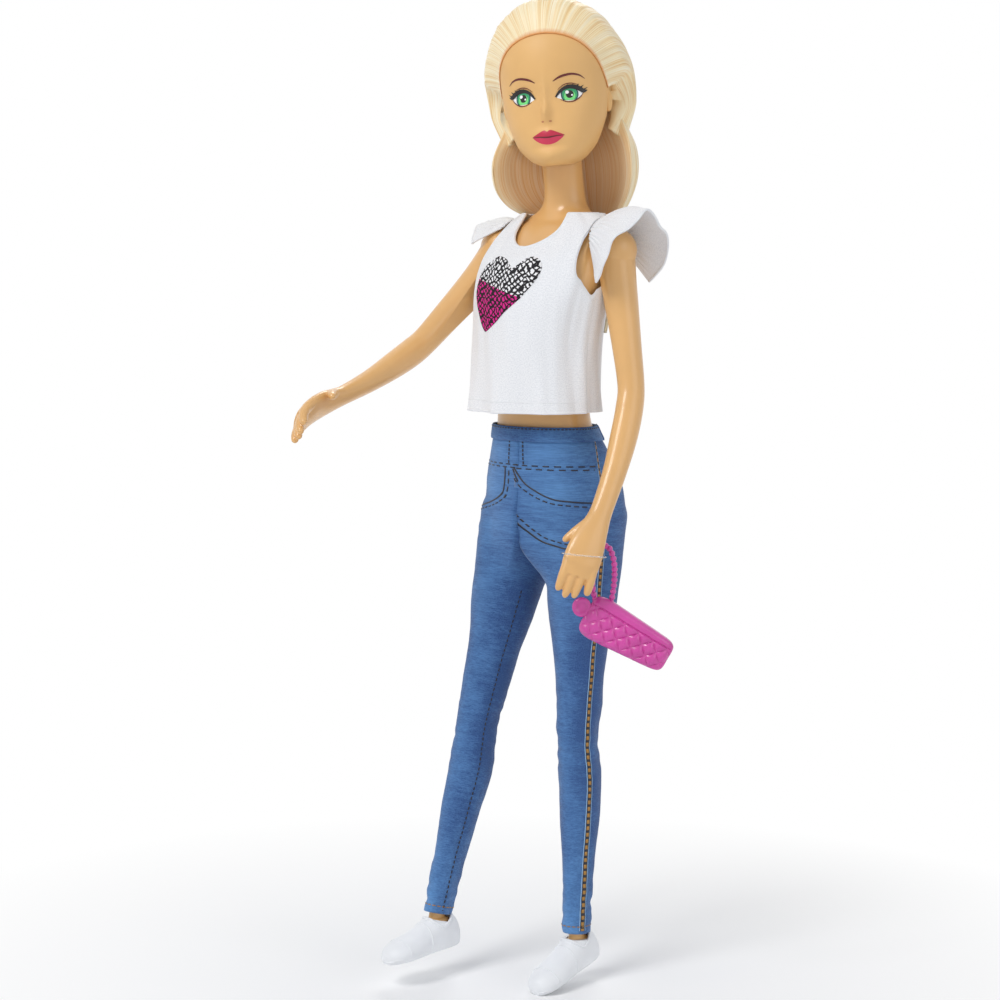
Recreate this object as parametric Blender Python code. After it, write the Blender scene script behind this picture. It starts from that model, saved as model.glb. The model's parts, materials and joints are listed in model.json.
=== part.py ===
"""Fashion doll: moulded body with jointed head, arms and legs, cropped tee, printed jeans, low shoes and a
small handbag tied to one wrist. Metres, +Z up; the doll faces -Y and its left side is at +X."""
import math

import bmesh
import bpy
from mathutils import Matrix, Vector

# Fits and walls
SEAM_GAP = 0.0003
SOCKET_CLEARANCE = 0.0003
OVERRUN = 0.004
RING_POINTS = 20
LIMB_POINTS = 14
FINGER_POINTS = 8

# Heights above the toes in the neutral stance, from the hem of the jeans up
HEM_HEIGHT = 0.0200
ANKLE_DROP = 0.0020
LEG_DROP = 0.1270
PELVIS_RISE = 0.0220
SHIRT_HEM_RISE = 0.0040
CHEST_RISE = 0.0620
SHOULDER_DROP = 0.0100
NECK_RISE = 0.0165
KNOB_RISE = 0.0059
CHIN_DROP = 0.0035
ANKLE_HEIGHT = HEM_HEIGHT - ANKLE_DROP
HIP_HEIGHT = HEM_HEIGHT + LEG_DROP
WAIST_HEIGHT = HIP_HEIGHT + PELVIS_RISE
SHIRT_HEM_HEIGHT = WAIST_HEIGHT + SHIRT_HEM_RISE
NECK_BASE_HEIGHT = WAIST_HEIGHT + CHEST_RISE
SHOULDER_HEIGHT = NECK_BASE_HEIGHT - SHOULDER_DROP
NECK_TOP_HEIGHT = NECK_BASE_HEIGHT + NECK_RISE
KNOB_HEIGHT = NECK_TOP_HEIGHT + KNOB_RISE
CHIN_HEIGHT = NECK_TOP_HEIGHT - CHIN_DROP

# Torso, in half widths and in reaches ahead of and behind the centre line
HIP_HALF_WIDTH = 0.0219
HIP_DEPTH = 0.0172
BUST_HALF_WIDTH = 0.0190
BUST_DEPTH = 0.0180
NECK_RADIUS = 0.0062
NECK_SET_BACK = 0.0060
KNOB_SET_BACK = 0.0042
# Rows of height share from hips to crotch or waist, then width share and front and back shares of depth
PELVIS_SHARES = ((-0.85, 0.84, 0.66, 0.80), (-0.60, 0.92, 0.70, 0.88), (-0.18, 1.0, 0.81, 1.0),
                 (0.20, 0.98, 0.84, 0.97), (0.60, 0.84, 0.85, 0.78), (1.0, 0.70, 0.84, 0.50))
# Rows of height share from waist to neck base, then shares of the bust's width and depth
CHEST_SHARES = ((0.0, 0.815, 0.800, 0.480), (0.14, 0.800, 0.810, 0.430), (0.32, 0.860, 0.850, 0.490),
                (0.48, 0.930, 0.900, 0.570), (0.61, 0.990, 0.980, 0.640), (0.74, 1.040, 0.800, 0.680),
                (0.84, 1.060, 0.500, 0.700), (0.92, 0.900, 0.260, 0.690), (0.97, 0.600, 0.090, 0.680))

# Neck and the knob that carries the head
KNOB_RADIUS = 0.0056
KNOB_STEM_RADIUS = 0.0030
KNOB_STEM_DEPTH = 0.0070
KNOB_TOP_DEGREES = 172
KNOB_STEPS = 8
NECK_HOLE_RADIUS = 0.0072

# Head, above the chin
HEAD_RISE = 0.0440
HEAD_HALF_WIDTH = 0.0160
HEAD_DEPTH = 0.0186
HEAD_WALL = 0.0018
HOLLOW_SHARE = 0.27
HEAD_POINTS = 32
FACE_CROWDING_SHARE = 0.42
HEAD_TURN_DEGREES = 30
HEAD_ROLL_DEGREES = 5
# Rows of height share, width share, front share and back share
HEAD_SHARES = ((-0.005, 0.26, 0.665, 0.20), (0.02, 0.42, 0.760, 0.42), (0.06, 0.56, 0.805, 0.52),
               (0.12, 0.70, 0.815, 0.62), (0.20, 0.80, 0.815, 0.73), (0.31, 0.900, 0.810, 0.85),
               (0.43, 0.960, 0.800, 0.94), (0.54, 0.985, 0.815, 0.99), (0.66, 1.0, 0.830, 1.0),
               (0.78, 0.950, 0.770, 0.93), (0.88, 0.800, 0.620, 0.76), (0.95, 0.560, 0.410, 0.52),
               (0.985, 0.300, 0.200, 0.26))
# Bumps of the face: across and height shares, spreads across and up, and how far each stands out
FACE_FORM_SHARES = ((0.0, 0.325, 0.085, 0.050, 0.120), (0.0, 0.42, 0.070, 0.110, 0.055),
                    (0.42, 0.46, 0.200, 0.060, -0.060), (-0.42, 0.46, 0.200, 0.060, -0.060),
                    (0.0, 0.175, 0.240, 0.030, 0.048), (0.0, 0.205, 0.200, 0.024, 0.030),
                    (0.0, 0.045, 0.260, 0.050, 0.040), (0.0, 0.105, 0.300, 0.022, -0.030),
                    (0.62, 0.26, 0.240, 0.110, 0.030), (-0.62, 0.26, 0.240, 0.110, 0.030))
EAR_RADIUS = 0.0030
EAR_HEIGHT_SHARE = 0.40
EAR_PLACE_SHARES = (0.93, 0.14)
EAR_FORM_SHARES = (0.42, 0.65, 1.15)

# Hair
HAIR_RISE = 0.0482
HAIR_HALF_WIDTH = 0.0222
HAIR_DEPTH = 0.0240
HAIRLINE_HALF_WIDTH = 0.0146
HAIRLINE_HEIGHT = 0.0385
HAIR_DROP = 0.0490
HAIR_END_HEIGHT = CHIN_HEIGHT - HAIR_DROP
HAIR_THICKNESS = 0.0058
HAIR_FRONT = 0.0010
HAIR_SHARES = ((0.06, 0.90, 0.02, 0.86), (0.25, 0.965, 0.12, 0.93), (0.46, 1.0, 0.28, 1.0),
               (0.62, 0.96, 0.47, 0.985), (0.77, 0.82, 0.58, 0.87), (0.89, 0.62, 0.53, 0.67),
               (0.97, 0.34, 0.33, 0.38), (1.0, 0.06, 0.05, 0.08))
# Rows of the falling length: height share, half width, inner depth and thickness shares, sweep, twist share
FALL_SHARES = ((1.0, 0.900, 0.640, 0.95, 0.96, 1.0), (0.86, 0.880, 0.700, 0.95, 0.82, 0.85),
               (0.74, 0.840, 0.745, 0.78, 0.62, 0.35), (0.62, 0.760, 0.770, 0.60, 0.54, 0.0),
               (0.40, 0.720, 0.765, 0.52, 0.52, 0.0), (0.20, 0.680, 0.750, 0.48, 0.50, 0.0),
               (0.0, 0.620, 0.740, 0.38, 0.46, 0.0))
FALL_SWEEP_DEGREES = 96
FALL_ROUND_SHARE = 0.22
FALL_POINTS = 15

# Arms, in the shape that both share, from the shoulder pivot outward and down
SHOULDER_OUT = 0.0183
SHOULDER_BACK = 0.0032
SHOULDER_RISE_DEGREES = 12
SHOULDER_FORWARD_DEGREES = 6
SHOULDER_BALL_RADIUS = 0.0066
ARM_REACH = 0.0800
ARM_HALF_THICKNESS = 0.0050
# Rows along the arm: places across, ahead and down, half sizes across and along, and twist of the section
ARM_SHARES = ((0.038, 0.000, 0.020, 1.16, 1.24, 0.0), (0.058, 0.002, 0.120, 1.02, 1.14, 0.0),
              (0.082, 0.008, 0.220, 0.92, 1.04, 0.0), (0.118, 0.022, 0.360, 0.80, 0.92, 0.0),
              (0.152, 0.038, 0.500, 0.72, 0.84, 0.1), (0.166, 0.063, 0.580, 0.72, 0.86, 0.2),
              (0.178, 0.108, 0.680, 0.68, 0.82, 0.5), (0.188, 0.170, 0.800, 0.58, 0.70, 0.8),
              (0.196, 0.246, 0.925, 0.49, 0.64, 1.0), (0.199, 0.284, 0.980, 0.47, 0.78, 1.0),
              (0.201, 0.329, 1.045, 0.44, 1.02, 1.0), (0.200, 0.362, 1.105, 0.41, 1.08, 1.0),
              (0.199, 0.382, 1.150, 0.30, 0.96, 1.0))
HAND_TWIST_DEGREES = 35
KNUCKLE_ROW = -3
THUMB_ROW = -7
ARM_PLUG_RADIUS = 0.0024
ARM_PLUG_DEPTH = 0.0052
ARM_FLANGE_RADIUS = 0.0038
ARM_FLANGE_THICKNESS = 0.0014
FINGER_LENGTH = 0.0088
FINGER_RADIUS = 0.00132
FINGER_SPACING = 0.00250
# Rows for the fingers from the thumb's side: place across, length share, and spread
FINGER_SHARES = ((1.5, 0.94, 0.0), (0.5, 1.06, 0.0), (-0.5, 0.98, 0.0), (-1.5, 0.80, -0.10))
FINGER_TAPER_SHARES = ((-0.30, 1.0, 0.0), (0.15, 1.0, 0.10), (0.50, 0.94, 0.42), (0.80, 0.82, 0.80),
                       (0.96, 0.62, 1.0), (1.03, 0.22, 1.06))
THUMB_LENGTH = 0.0084
THUMB_RADIUS = 0.00140
THUMB_HEADING_SHARES = (0.86, 0.45, -0.22)
LITTLE_FINGER_CURL_SHARE = 0.75
# Bend of the fingers towards the palm, and the turn of each arm from hanging
LEFT_CURL_DEGREES = 14
RIGHT_CURL_DEGREES = 46
LEFT_ARM_TURN_DEGREES = 0
RIGHT_ARM_TURN_DEGREES = 43

# Legs, in the shape that both share, from the hip pivot
HIP_OUT = 0.0056
HIP_AXIS_BACK = 0.0010
HIP_AXIS_DROP_DEGREES = 15
HIP_DOME_RADIUS = 0.0175
DOME_STEP_DEGREES = 12
HIP_PLUG_RADIUS = 0.0030
HIP_PLUG_DEPTH = 0.0042
HIP_FLANGE_RADIUS = 0.0038
HIP_FLANGE_THICKNESS = 0.0012
HIP_SHANK_RADIUS = 0.0036
HIP_SHANK_DEPTH = 0.0080
THIGH_HALF_WIDTH = 0.0092
THIGH_DEPTH = 0.0110
# Rows of drop share, place across, width share, and front and back shares of depth
LEG_SHARES = ((-0.05, 0.055, 1.00, 1.00, 1.10), (0.03, 0.055, 1.02, 1.04, 1.24),
              (0.11, 0.055, 1.00, 0.98, 1.14), (0.236, 0.056, 0.97, 0.83, 0.93),
              (0.33, 0.058, 0.80, 0.67, 0.72), (0.40, 0.062, 0.68, 0.60, 0.62),
              (0.48, 0.065, 0.58, 0.57, 0.57), (0.56, 0.068, 0.525, 0.53, 0.50),
              (0.653, 0.073, 0.555, 0.46, 0.64), (0.748, 0.078, 0.48, 0.41, 0.55),
              (0.843, 0.083, 0.38, 0.365, 0.45), (0.93, 0.087, 0.33, 0.35, 0.37),
              (1.03, 0.0905, 0.28, 0.30, 0.32))
LEFT_LEG_TURN_DEGREES = 4
RIGHT_LEG_TURN_DEGREES = 15

# Feet and shoes
FOOT_LENGTH = 0.0270
FOOT_PITCH_DEGREES = 17.5
HEEL_SET_BACK = 0.0068
SOLE_DROP = 0.0086
SHOE_WALL = 0.0009
SHOE_HALF_WIDTH = 0.0053
SHOE_HEIGHT = 0.0105
SHOE_MOUTH_RADIUS = 0.0056
SOLE_FLAT_SHARE = 0.72
# Rows along the shoe: length share, half width share, height share
SHOE_SHARES = ((-0.005, 0.34, 0.62), (0.025, 0.62, 0.80), (0.10, 0.80, 0.98), (0.22, 0.86, 1.05),
               (0.36, 0.84, 0.98), (0.50, 0.88, 0.80), (0.64, 0.98, 0.66), (0.78, 1.0, 0.58),
               (0.90, 0.86, 0.50), (0.97, 0.58, 0.40), (1.005, 0.26, 0.26))

# Jeans and shirt
CLOTH = 0.00055
JEANS_EASE = 0.00035
WAISTBAND_RISE = 0.0040
WAISTBAND_EXTRA = 0.00045
CLOSURE_THICKNESS = 0.0006
CLOSURE_LAP_DEGREES = 11
CLOSURE_EASE_DEGREES = 16
CLOSURE_INSET_DEGREES = 2
# Rows of the shirt's outline: height share from hem to neck base, then shares of the bust's width and depth
SHIRT_SHARES = ((0.0, 0.980, 1.220, 0.540), (0.22, 0.970, 1.180, 0.540), (0.40, 0.990, 1.155, 0.610),
                (0.585, 1.065, 1.095, 0.725), (0.72, 1.105, 0.900, 0.760), (0.825, 1.125, 0.600, 0.775),
                (0.915, 0.970, 0.350, 0.765), (0.98, 0.700, 0.200, 0.750))
SIDE_SEAM_DEGREES = 86
NECKLINE_HALF_WIDTH = 0.0105
NECKLINE_DEPTH = 0.0140
NECKLINE_DROP = 0.0110
NECKLINE_AHEAD = 0.0100
SLEEVE_SEAM_RADIUS = 0.0071
SLEEVE_REACH = 0.0185
SLEEVE_RADIUS = 0.0090
SLEEVE_SPREAD_SHARE = 1.35
SLEEVE_DROP = 0.0040
SLEEVE_SAG = 0.0055
SLEEVE_ARCH = 0.0022
SLEEVE_WAVE = 0.0011
SLEEVE_WAVES = 5
SLEEVE_SIDE_SHARE = 0.45
SLEEVE_ROWS = 7
SLEEVE_COLUMNS = 21
LEFT_SLEEVE_FRONT_DEGREES = 112
RIGHT_SLEEVE_FRONT_DEGREES = 84
SLEEVE_BACK_DEGREES = 112

# Handbag: one soft moulding that hangs from its strap, and the clear thread round the hand
# Where it hangs: across, ahead and down from the left shoulder, as shares of the arm's reach
BAG_HANG_SHARES = (0.20875, 0.25625, 1.08375)
BAG_FACING_DEGREES = 43
BAG_TILT_DEGREES = 30
BAG_CENTRE_ACROSS = 0.0070
BAG_CENTRE_DROP = 0.0227
BAG_LENGTH = 0.0270
BAG_HEIGHT = 0.0116
BAG_HALF_DEPTH = 0.0034
BAG_RIM_SHARE = 0.50
BAG_QUILT = 0.0033
BAG_QUILT_SHARE = 0.20
BAG_TAPER_SHARE = 0.12
BAG_EDGE_SHARE = 0.98
BAG_SQUARENESS = 6
BAG_ROWS = 13
BAG_COLUMNS = 27
BAG_STRAP_RADIUS = 0.00085
# Places along the strap: across and down from where the thread holds it, as shares of the strap's drop
BAG_STRAP_DROP = 0.0130
BAG_STRAP_SHARES = ((0.17, 1.16), (0.24, 0.72), (0.26, 0.42), (0.24, 0.10), (0.15, -0.14), (0.0, -0.21),
                    (-0.15, -0.13), (-0.22, 0.12), (-0.23, 0.46), (-0.20, 0.78), (-0.13, 1.05))
BAG_TAB_RADIUS = 0.0027
BAG_TAB_HALF_DEPTH = 0.0013
BAG_TAB_ACROSS = -0.0058
BAG_TAB_DROP = 0.0147
THREAD_HALF_WIDTH = 0.0045
THREAD_ROW = -4
THREAD_RADIUS = 0.00022

FRONT = Vector((0, -1, 0))


def material(name, colour, roughness):
    made = bpy.data.materials.new(name)
    made.use_nodes = True
    shader = made.node_tree.nodes["Principled BSDF"]
    shader.inputs["Base Color"].default_value = (*colour, 1)
    shader.inputs["Roughness"].default_value = roughness
    shader.inputs["Metallic"].default_value = 0
    return made


def collection(name):
    made = bpy.data.collections.new(name)
    bpy.context.scene.collection.children.link(made)
    return made


def clear_scene():
    for old in list(bpy.data.objects):
        bpy.data.objects.remove(old, do_unlink=True)


def smooth_rows(rows, steps):
    """Rows of numbers with `steps` pieces between each pair, on a Catmull-Rom curve through all of them."""
    padded = [rows[0], *rows, rows[-1]]
    made = []
    for before, start, end, after in zip(padded, padded[1:], padded[2:], padded[3:]):
        for step in range(steps):
            t = step / steps
            made.append(tuple(
                0.5 * (2 * b + (c - a) * t + (2 * a - 5 * b + 4 * c - d) * t * t
                       + (3 * b - a - 3 * c + d) * t ** 3)
                for a, b, c, d in zip(before, start, end, after)))
    return made + [tuple(rows[-1])]


def row_at(rows, height):
    """The row at a height, between the two rows that hold it."""
    for low, high in zip(rows, rows[1:]):
        if low[0] <= height <= high[0]:
            t = (height - low[0]) / (high[0] - low[0])
            return tuple(a + (b - a) * t for a, b in zip(low, high))
    return rows[0] if height < rows[0][0] else rows[-1]


def trimmed(rows, low, high):
    return [row_at(rows, low), *[row for row in rows if low < row[0] < high], row_at(rows, high)]


def torso_rows(steps=2):
    """Height, half width, reach ahead and reach behind, from the crotch to the top of the neck."""
    pelvis = [(HIP_HEIGHT + up * PELVIS_RISE, wide * HIP_HALF_WIDTH, ahead * HIP_DEPTH, behind * HIP_DEPTH)
              for up, wide, ahead, behind in PELVIS_SHARES[:-1]]
    chest = [(WAIST_HEIGHT + up * CHEST_RISE, wide * BUST_HALF_WIDTH, ahead * BUST_DEPTH, behind * BUST_DEPTH)
             for up, wide, ahead, behind in CHEST_SHARES]
    neck_low = (NECK_BASE_HEIGHT + NECK_RADIUS / 2, NECK_RADIUS, NECK_RADIUS - NECK_SET_BACK,
                NECK_RADIUS + NECK_SET_BACK)
    neck_top = (NECK_TOP_HEIGHT, NECK_RADIUS - SEAM_GAP, NECK_RADIUS - KNOB_SET_BACK - SEAM_GAP,
                NECK_RADIUS + KNOB_SET_BACK - SEAM_GAP)
    return smooth_rows([*pelvis, *chest, neck_low, neck_top], steps)


def level_ring(row, grow=0, points=RING_POINTS, start=0, sweep=360):
    """A level ellipse round the body, from `start` degrees, where 0 is the front and 90 the left side."""
    height, wide, ahead, behind = row
    middle, deep = (behind - ahead) / 2, (behind + ahead) / 2
    steps = points if sweep == 360 else points - 1
    angles = [math.radians(start + sweep * k / steps) for k in range(points)]
    return [Vector(((wide + grow) * math.sin(a), middle - (deep + grow) * math.cos(a), height)) for a in angles]


def new_object(name, bm, group, finish=None):
    bmesh.ops.recalc_face_normals(bm, faces=bm.faces)
    mesh = bpy.data.meshes.new(name)
    bm.to_mesh(mesh)
    bm.free()
    made = bpy.data.objects.new(name, mesh)
    group.objects.link(made)
    if finish:
        mesh.materials.append(finish)
        mesh.shade_smooth()
        mesh.set_sharp_from_angle(angle=math.radians(50))
    else:
        made.hide_render = True
        made.display_type = "WIRE"
    return made


def loft(name, rings, group, finish=None):
    """A closed solid through rings of equal count, capped at both ends."""
    bm = bmesh.new()
    made = [[bm.verts.new(point) for point in ring] for ring in rings]
    for low, high in zip(made, made[1:]):
        for k in range(len(low)):
            after = (k + 1) % len(low)
            bm.faces.new((low[k], low[after], high[after], high[k]))
    bm.faces.new(made[0])
    bm.faces.new(made[-1])
    return new_object(name, bm, group, finish)


def sheet_solid(name, inner, outer, group, finish=None):
    """A closed solid between two grids of equal size, such as a panel of cloth."""
    bm = bmesh.new()
    faces = []
    grids = [[[bm.verts.new(point) for point in row] for row in grid] for grid in (inner, outer)]
    rows, columns = len(inner), len(inner[0])
    for grid in grids:
        for i in range(rows - 1):
            for j in range(columns - 1):
                faces.append((grid[i][j], grid[i][j + 1], grid[i + 1][j + 1], grid[i + 1][j]))
    border = [(0, j) for j in range(columns)] + [(i, columns - 1) for i in range(1, rows)]
    border += [(rows - 1, j) for j in range(columns - 2, -1, -1)] + [(i, 0) for i in range(rows - 2, 0, -1)]
    for (i, j), (k, m) in zip(border, border[1:] + border[:1]):
        faces.append((grids[0][i][j], grids[0][k][m], grids[1][k][m], grids[1][i][j]))
    for face in faces:
        bm.faces.new(face)
    return new_object(name, bm, group, finish)


def frame_along(axis):
    """A turn that takes +Z to `axis`."""
    return Vector((0, 0, 1)).rotation_difference(axis).to_matrix().to_4x4()


def rod(name, start, axis, radius, length, group, finish=None, points=RING_POINTS):
    bm = bmesh.new()
    bmesh.ops.create_cone(bm, cap_ends=True, segments=points, radius1=radius, radius2=radius, depth=length)
    shift = Matrix.Translation(Vector(start) + Vector(axis) * length / 2)
    bmesh.ops.transform(bm, matrix=shift @ frame_along(Vector(axis)), verts=bm.verts)
    return new_object(name, bm, group, finish)


def ball(name, centre, radius, group, finish=None, shares=(1, 1, 1), points=20):
    bm = bmesh.new()
    bmesh.ops.create_uvsphere(bm, u_segments=points, v_segments=points // 2, radius=radius)
    bmesh.ops.transform(bm, matrix=Matrix.Translation(centre) @ Matrix.Diagonal((*shares, 1)), verts=bm.verts)
    return new_object(name, bm, group, finish)


def beyond(name, point, axis, group, size=SHOULDER_HEIGHT):
    """A cutter that fills everything past a plane, on the side that `axis` points to."""
    bm = bmesh.new()
    bmesh.ops.create_cube(bm, size=size)
    shift = Matrix.Translation(Vector(point) + Vector(axis) * size / 2)
    bmesh.ops.transform(bm, matrix=shift @ frame_along(Vector(axis)), verts=bm.verts)
    return new_object(name, bm, group)


def combine(target, other, operation):
    step = target.modifiers.new(other.name, "BOOLEAN")
    step.operation = operation
    step.solver = "EXACT"
    step.object = other


def cut(target, *others):
    for other in others:
        combine(target, other, "DIFFERENCE")


def join(target, *others):
    for other in others:
        combine(target, other, "UNION")


def pivot(name, place, axis, degrees, group):
    """An empty at a joint, whose children turn with it about the joint's axis."""
    made = bpy.data.objects.new(name, None)
    group.objects.link(made)
    made.empty_display_size = SHOULDER_BALL_RADIUS
    turn = Matrix.Rotation(math.radians(degrees), 4, Vector(axis))
    made.matrix_world = Matrix.Translation(place) @ turn
    return made


def turned(name, start, axis, profile, group, finish=None, points=LIMB_POINTS + 2):
    """A turned solid: a profile of distances along an axis and radii."""
    turn = frame_along(Vector(axis))
    rings = []
    for along, radius in profile:
        circle = [turn @ Vector((radius * math.cos(a), radius * math.sin(a), along))
                  for a in (2 * math.pi * k / points for k in range(points))]
        rings.append([Vector(start) + point for point in circle])
    return loft(name, rings, group, finish)


def tube(name, points, radius, group, finish=None, closed=True):
    """A round strand along points, made as a curve and kept as a mesh."""
    curve = bpy.data.curves.new(name + "_route", "CURVE")
    curve.dimensions = "3D"
    curve.bevel_depth = radius
    curve.bevel_resolution = 2
    curve.use_fill_caps = True
    spline = curve.splines.new("POLY")
    spline.points.add(len(points) - 1)
    for spot, point in zip(spline.points, points):
        spot.co = (*point, 1)
    spline.use_cyclic_u = closed
    route = bpy.data.objects.new(name + "_route", curve)
    group.objects.link(route)
    bpy.context.view_layer.update()
    graph = bpy.context.evaluated_depsgraph_get()
    mesh = bpy.data.meshes.new_from_object(route.evaluated_get(graph))
    bpy.data.objects.remove(route, do_unlink=True)
    bm = bmesh.new()
    bm.from_mesh(mesh)
    bpy.data.meshes.remove(mesh)
    bmesh.ops.remove_doubles(bm, verts=bm.verts, dist=radius / 50)
    return new_object(name, bm, group, finish)


def shoulder_place(side):
    return Vector((side * SHOULDER_OUT, SHOULDER_BACK, SHOULDER_HEIGHT))


def shoulder_axis(side):
    rise, ahead = math.radians(SHOULDER_RISE_DEGREES), math.radians(SHOULDER_FORWARD_DEGREES)
    return Vector((side * math.cos(rise) * math.cos(ahead), -math.cos(rise) * math.sin(ahead), math.sin(rise)))


def hip_place(side):
    return Vector((side * HIP_OUT, HIP_AXIS_BACK, HIP_HEIGHT))


def hip_axis(side):
    drop = math.radians(HIP_AXIS_DROP_DEGREES)
    return Vector((side * math.cos(drop), 0, -math.sin(drop)))


def hip_room(name, side, grow, group):
    """The space of one leg: outside the hip's tilted face, and above the joint only inside a round dome."""
    axis, place = hip_axis(side), hip_place(side)
    up = Vector((side * math.sin(math.radians(HIP_AXIS_DROP_DEGREES)), 0,
                 math.cos(math.radians(HIP_AXIS_DROP_DEGREES))))
    radius, broad = HIP_DOME_RADIUS + grow, LEG_DROP / 2
    outline = [(-broad, -LEG_DROP - broad), (broad, -LEG_DROP - broad), (broad, -grow), (radius, -grow)]
    outline += [(radius * math.cos(math.radians(a)), radius * math.sin(math.radians(a)))
                for a in range(DOME_STEP_DEGREES // 2, 180, DOME_STEP_DEGREES)]
    outline += [(-radius, -grow), (-broad, -grow)]
    rings = []
    for along in (SEAM_GAP / 2 - grow, broad):
        rings.append([place + axis * along + Vector((0, y, 0)) + up * z for y, z in outline])
    return loft(name, rings, group)


def arm_plug_profile(extra):
    stop = -ARM_PLUG_DEPTH - extra
    wide = ARM_FLANGE_RADIUS + extra
    thin = -ARM_PLUG_DEPTH + ARM_FLANGE_THICKNESS + extra
    return ((stop, wide), (thin, wide), (thin + extra / 2 + SEAM_GAP, ARM_PLUG_RADIUS + extra),
            (OVERRUN / 2, ARM_PLUG_RADIUS + extra))


def hip_plug_profile(extra):
    stop = -HIP_PLUG_DEPTH - extra
    wide = HIP_FLANGE_RADIUS + extra
    thin = -HIP_PLUG_DEPTH + HIP_FLANGE_THICKNESS + extra
    return ((stop, wide), (thin, wide), (thin + SEAM_GAP, HIP_PLUG_RADIUS + extra),
            (SEAM_GAP, HIP_PLUG_RADIUS + extra), (2 * SEAM_GAP, HIP_SHANK_RADIUS + extra),
            (HIP_SHANK_DEPTH + extra, HIP_SHANK_RADIUS + extra))


def knob_profile(extra):
    """From the foot of the stem, up round the ball."""
    base = NECK_TOP_HEIGHT - KNOB_STEM_DEPTH
    stem, radius = KNOB_STEM_RADIUS + extra, KNOB_RADIUS + extra
    centre = KNOB_HEIGHT - base
    low = math.degrees(math.asin(stem / radius))
    profile = [(-extra, stem)]
    for k in range(KNOB_STEPS + 1):
        angle = math.radians(low + (KNOB_TOP_DEGREES - low) * k / KNOB_STEPS)
        profile.append((centre - radius * math.cos(angle), radius * math.sin(angle)))
    return profile


def make_torso(parts, cutters, skin):
    """Two glued halves of the moulded body, with the neck, and sockets for knob, arms and legs."""
    rows = torso_rows()
    rings = [level_ring(row, points=RING_POINTS) for row in rows]
    low, high = Vector((0, HIP_AXIS_BACK, HIP_HEIGHT)), Vector((0, KNOB_SET_BACK, NECK_TOP_HEIGHT))
    lean = (high - low).normalized()
    back_normal = Vector((0, lean.z, -lean.y))
    sockets = [turned("neck_socket", (0, KNOB_SET_BACK, NECK_TOP_HEIGHT - KNOB_STEM_DEPTH), (0, 0, 1),
                      ((-SOCKET_CLEARANCE, KNOB_STEM_RADIUS + SOCKET_CLEARANCE),
                       (KNOB_STEM_DEPTH + OVERRUN, KNOB_STEM_RADIUS + SOCKET_CLEARANCE)), cutters)]
    for side, word in ((1, "left"), (-1, "right")):
        sockets.append(beyond(word + "_shoulder_face", shoulder_place(side) - shoulder_axis(side) * SEAM_GAP / 2,
                              shoulder_axis(side), cutters))
        sockets.append(turned(word + "_shoulder_socket", shoulder_place(side), shoulder_axis(side),
                              arm_plug_profile(SOCKET_CLEARANCE), cutters))
        sockets.append(hip_room(word + "_hip_socket", side, SEAM_GAP, cutters))
        sockets.append(turned(word + "_hip_plug_socket", hip_place(side), hip_axis(side),
                              hip_plug_profile(SOCKET_CLEARANCE), cutters))
    halves = []
    for name, sign in (("torso_front", 1), ("torso_back", -1)):
        half = loft(name, rings, parts, skin)
        away = beyond(name + "_seam", low + back_normal * sign * -SEAM_GAP / 2, back_normal * sign, cutters)
        cut(half, away, *sockets)
        halves.append(half)
    return halves


def make_neck_knob(parts, skin):
    start = (0, KNOB_SET_BACK, NECK_TOP_HEIGHT - KNOB_STEM_DEPTH)
    return turned("neck_knob", start, (0, 0, 1), knob_profile(0), parts, skin)


def face_relief(across, up):
    """How far the face stands out from the plain oval there, as a share of the head's depth."""
    total = 0
    for x, z, wide, tall, out in FACE_FORM_SHARES:
        total += out * math.exp(-((across - x) / wide) ** 2 - ((up - z) / tall) ** 2)
    return total


def head_rings(grow, relief, low_share=-1, points=HEAD_POINTS, steps=1):
    """Level rings of the head, closer together round the face than round the back."""
    rings = []
    for share, wide, ahead, behind in smooth_rows(HEAD_SHARES, steps):
        if share < low_share:
            continue
        height = CHIN_HEIGHT + share * HEAD_RISE + grow * (share - 0.5) * 2
        wide, ahead, behind = wide * HEAD_HALF_WIDTH, ahead * HEAD_DEPTH, behind * HEAD_DEPTH
        middle, deep = (behind - ahead) / 2, (behind + ahead) / 2
        ring = []
        for k in range(points):
            angle = 2 * math.pi * k / points
            angle -= FACE_CROWDING_SHARE * math.sin(angle)
            x, y = (wide + grow) * math.sin(angle), middle - (deep + grow) * math.cos(angle)
            if relief and math.cos(angle) > 0:
                y -= HEAD_DEPTH * math.cos(angle) * face_relief(x / HEAD_HALF_WIDTH, share)
            ring.append(Vector((x, y, height)))
        rings.append(ring)
    return rings


def make_head(parts, cutters, skin):
    head = loft("head", head_rings(0, True, steps=2), parts, skin)
    ears = []
    for side, word in ((1, "left"), (-1, "right")):
        across, back = EAR_PLACE_SHARES
        centre = Vector((side * across * HEAD_HALF_WIDTH, back * HEAD_DEPTH,
                         CHIN_HEIGHT + EAR_HEIGHT_SHARE * HEAD_RISE))
        ears.append(ball(word + "_ear", centre, EAR_RADIUS, cutters, shares=EAR_FORM_SHARES, points=12))
    join(head, *ears)
    knob = Vector((0, KNOB_SET_BACK, KNOB_HEIGHT))
    hollow = loft("head_hollow", head_rings(-HEAD_WALL, False, HOLLOW_SHARE, RING_POINTS), cutters)
    socket = ball("knob_socket", knob, KNOB_RADIUS + SOCKET_CLEARANCE, cutters, points=24)
    neck_hole = rod("neck_hole", knob - Vector((0, 0, KNOB_RADIUS / 3)), (0, 0, -1), NECK_HOLE_RADIUS,
                    HEAD_RISE / 2, cutters)
    cut(head, hollow, socket, neck_hole)
    return head, [*ears, hollow, socket, neck_hole]


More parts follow.
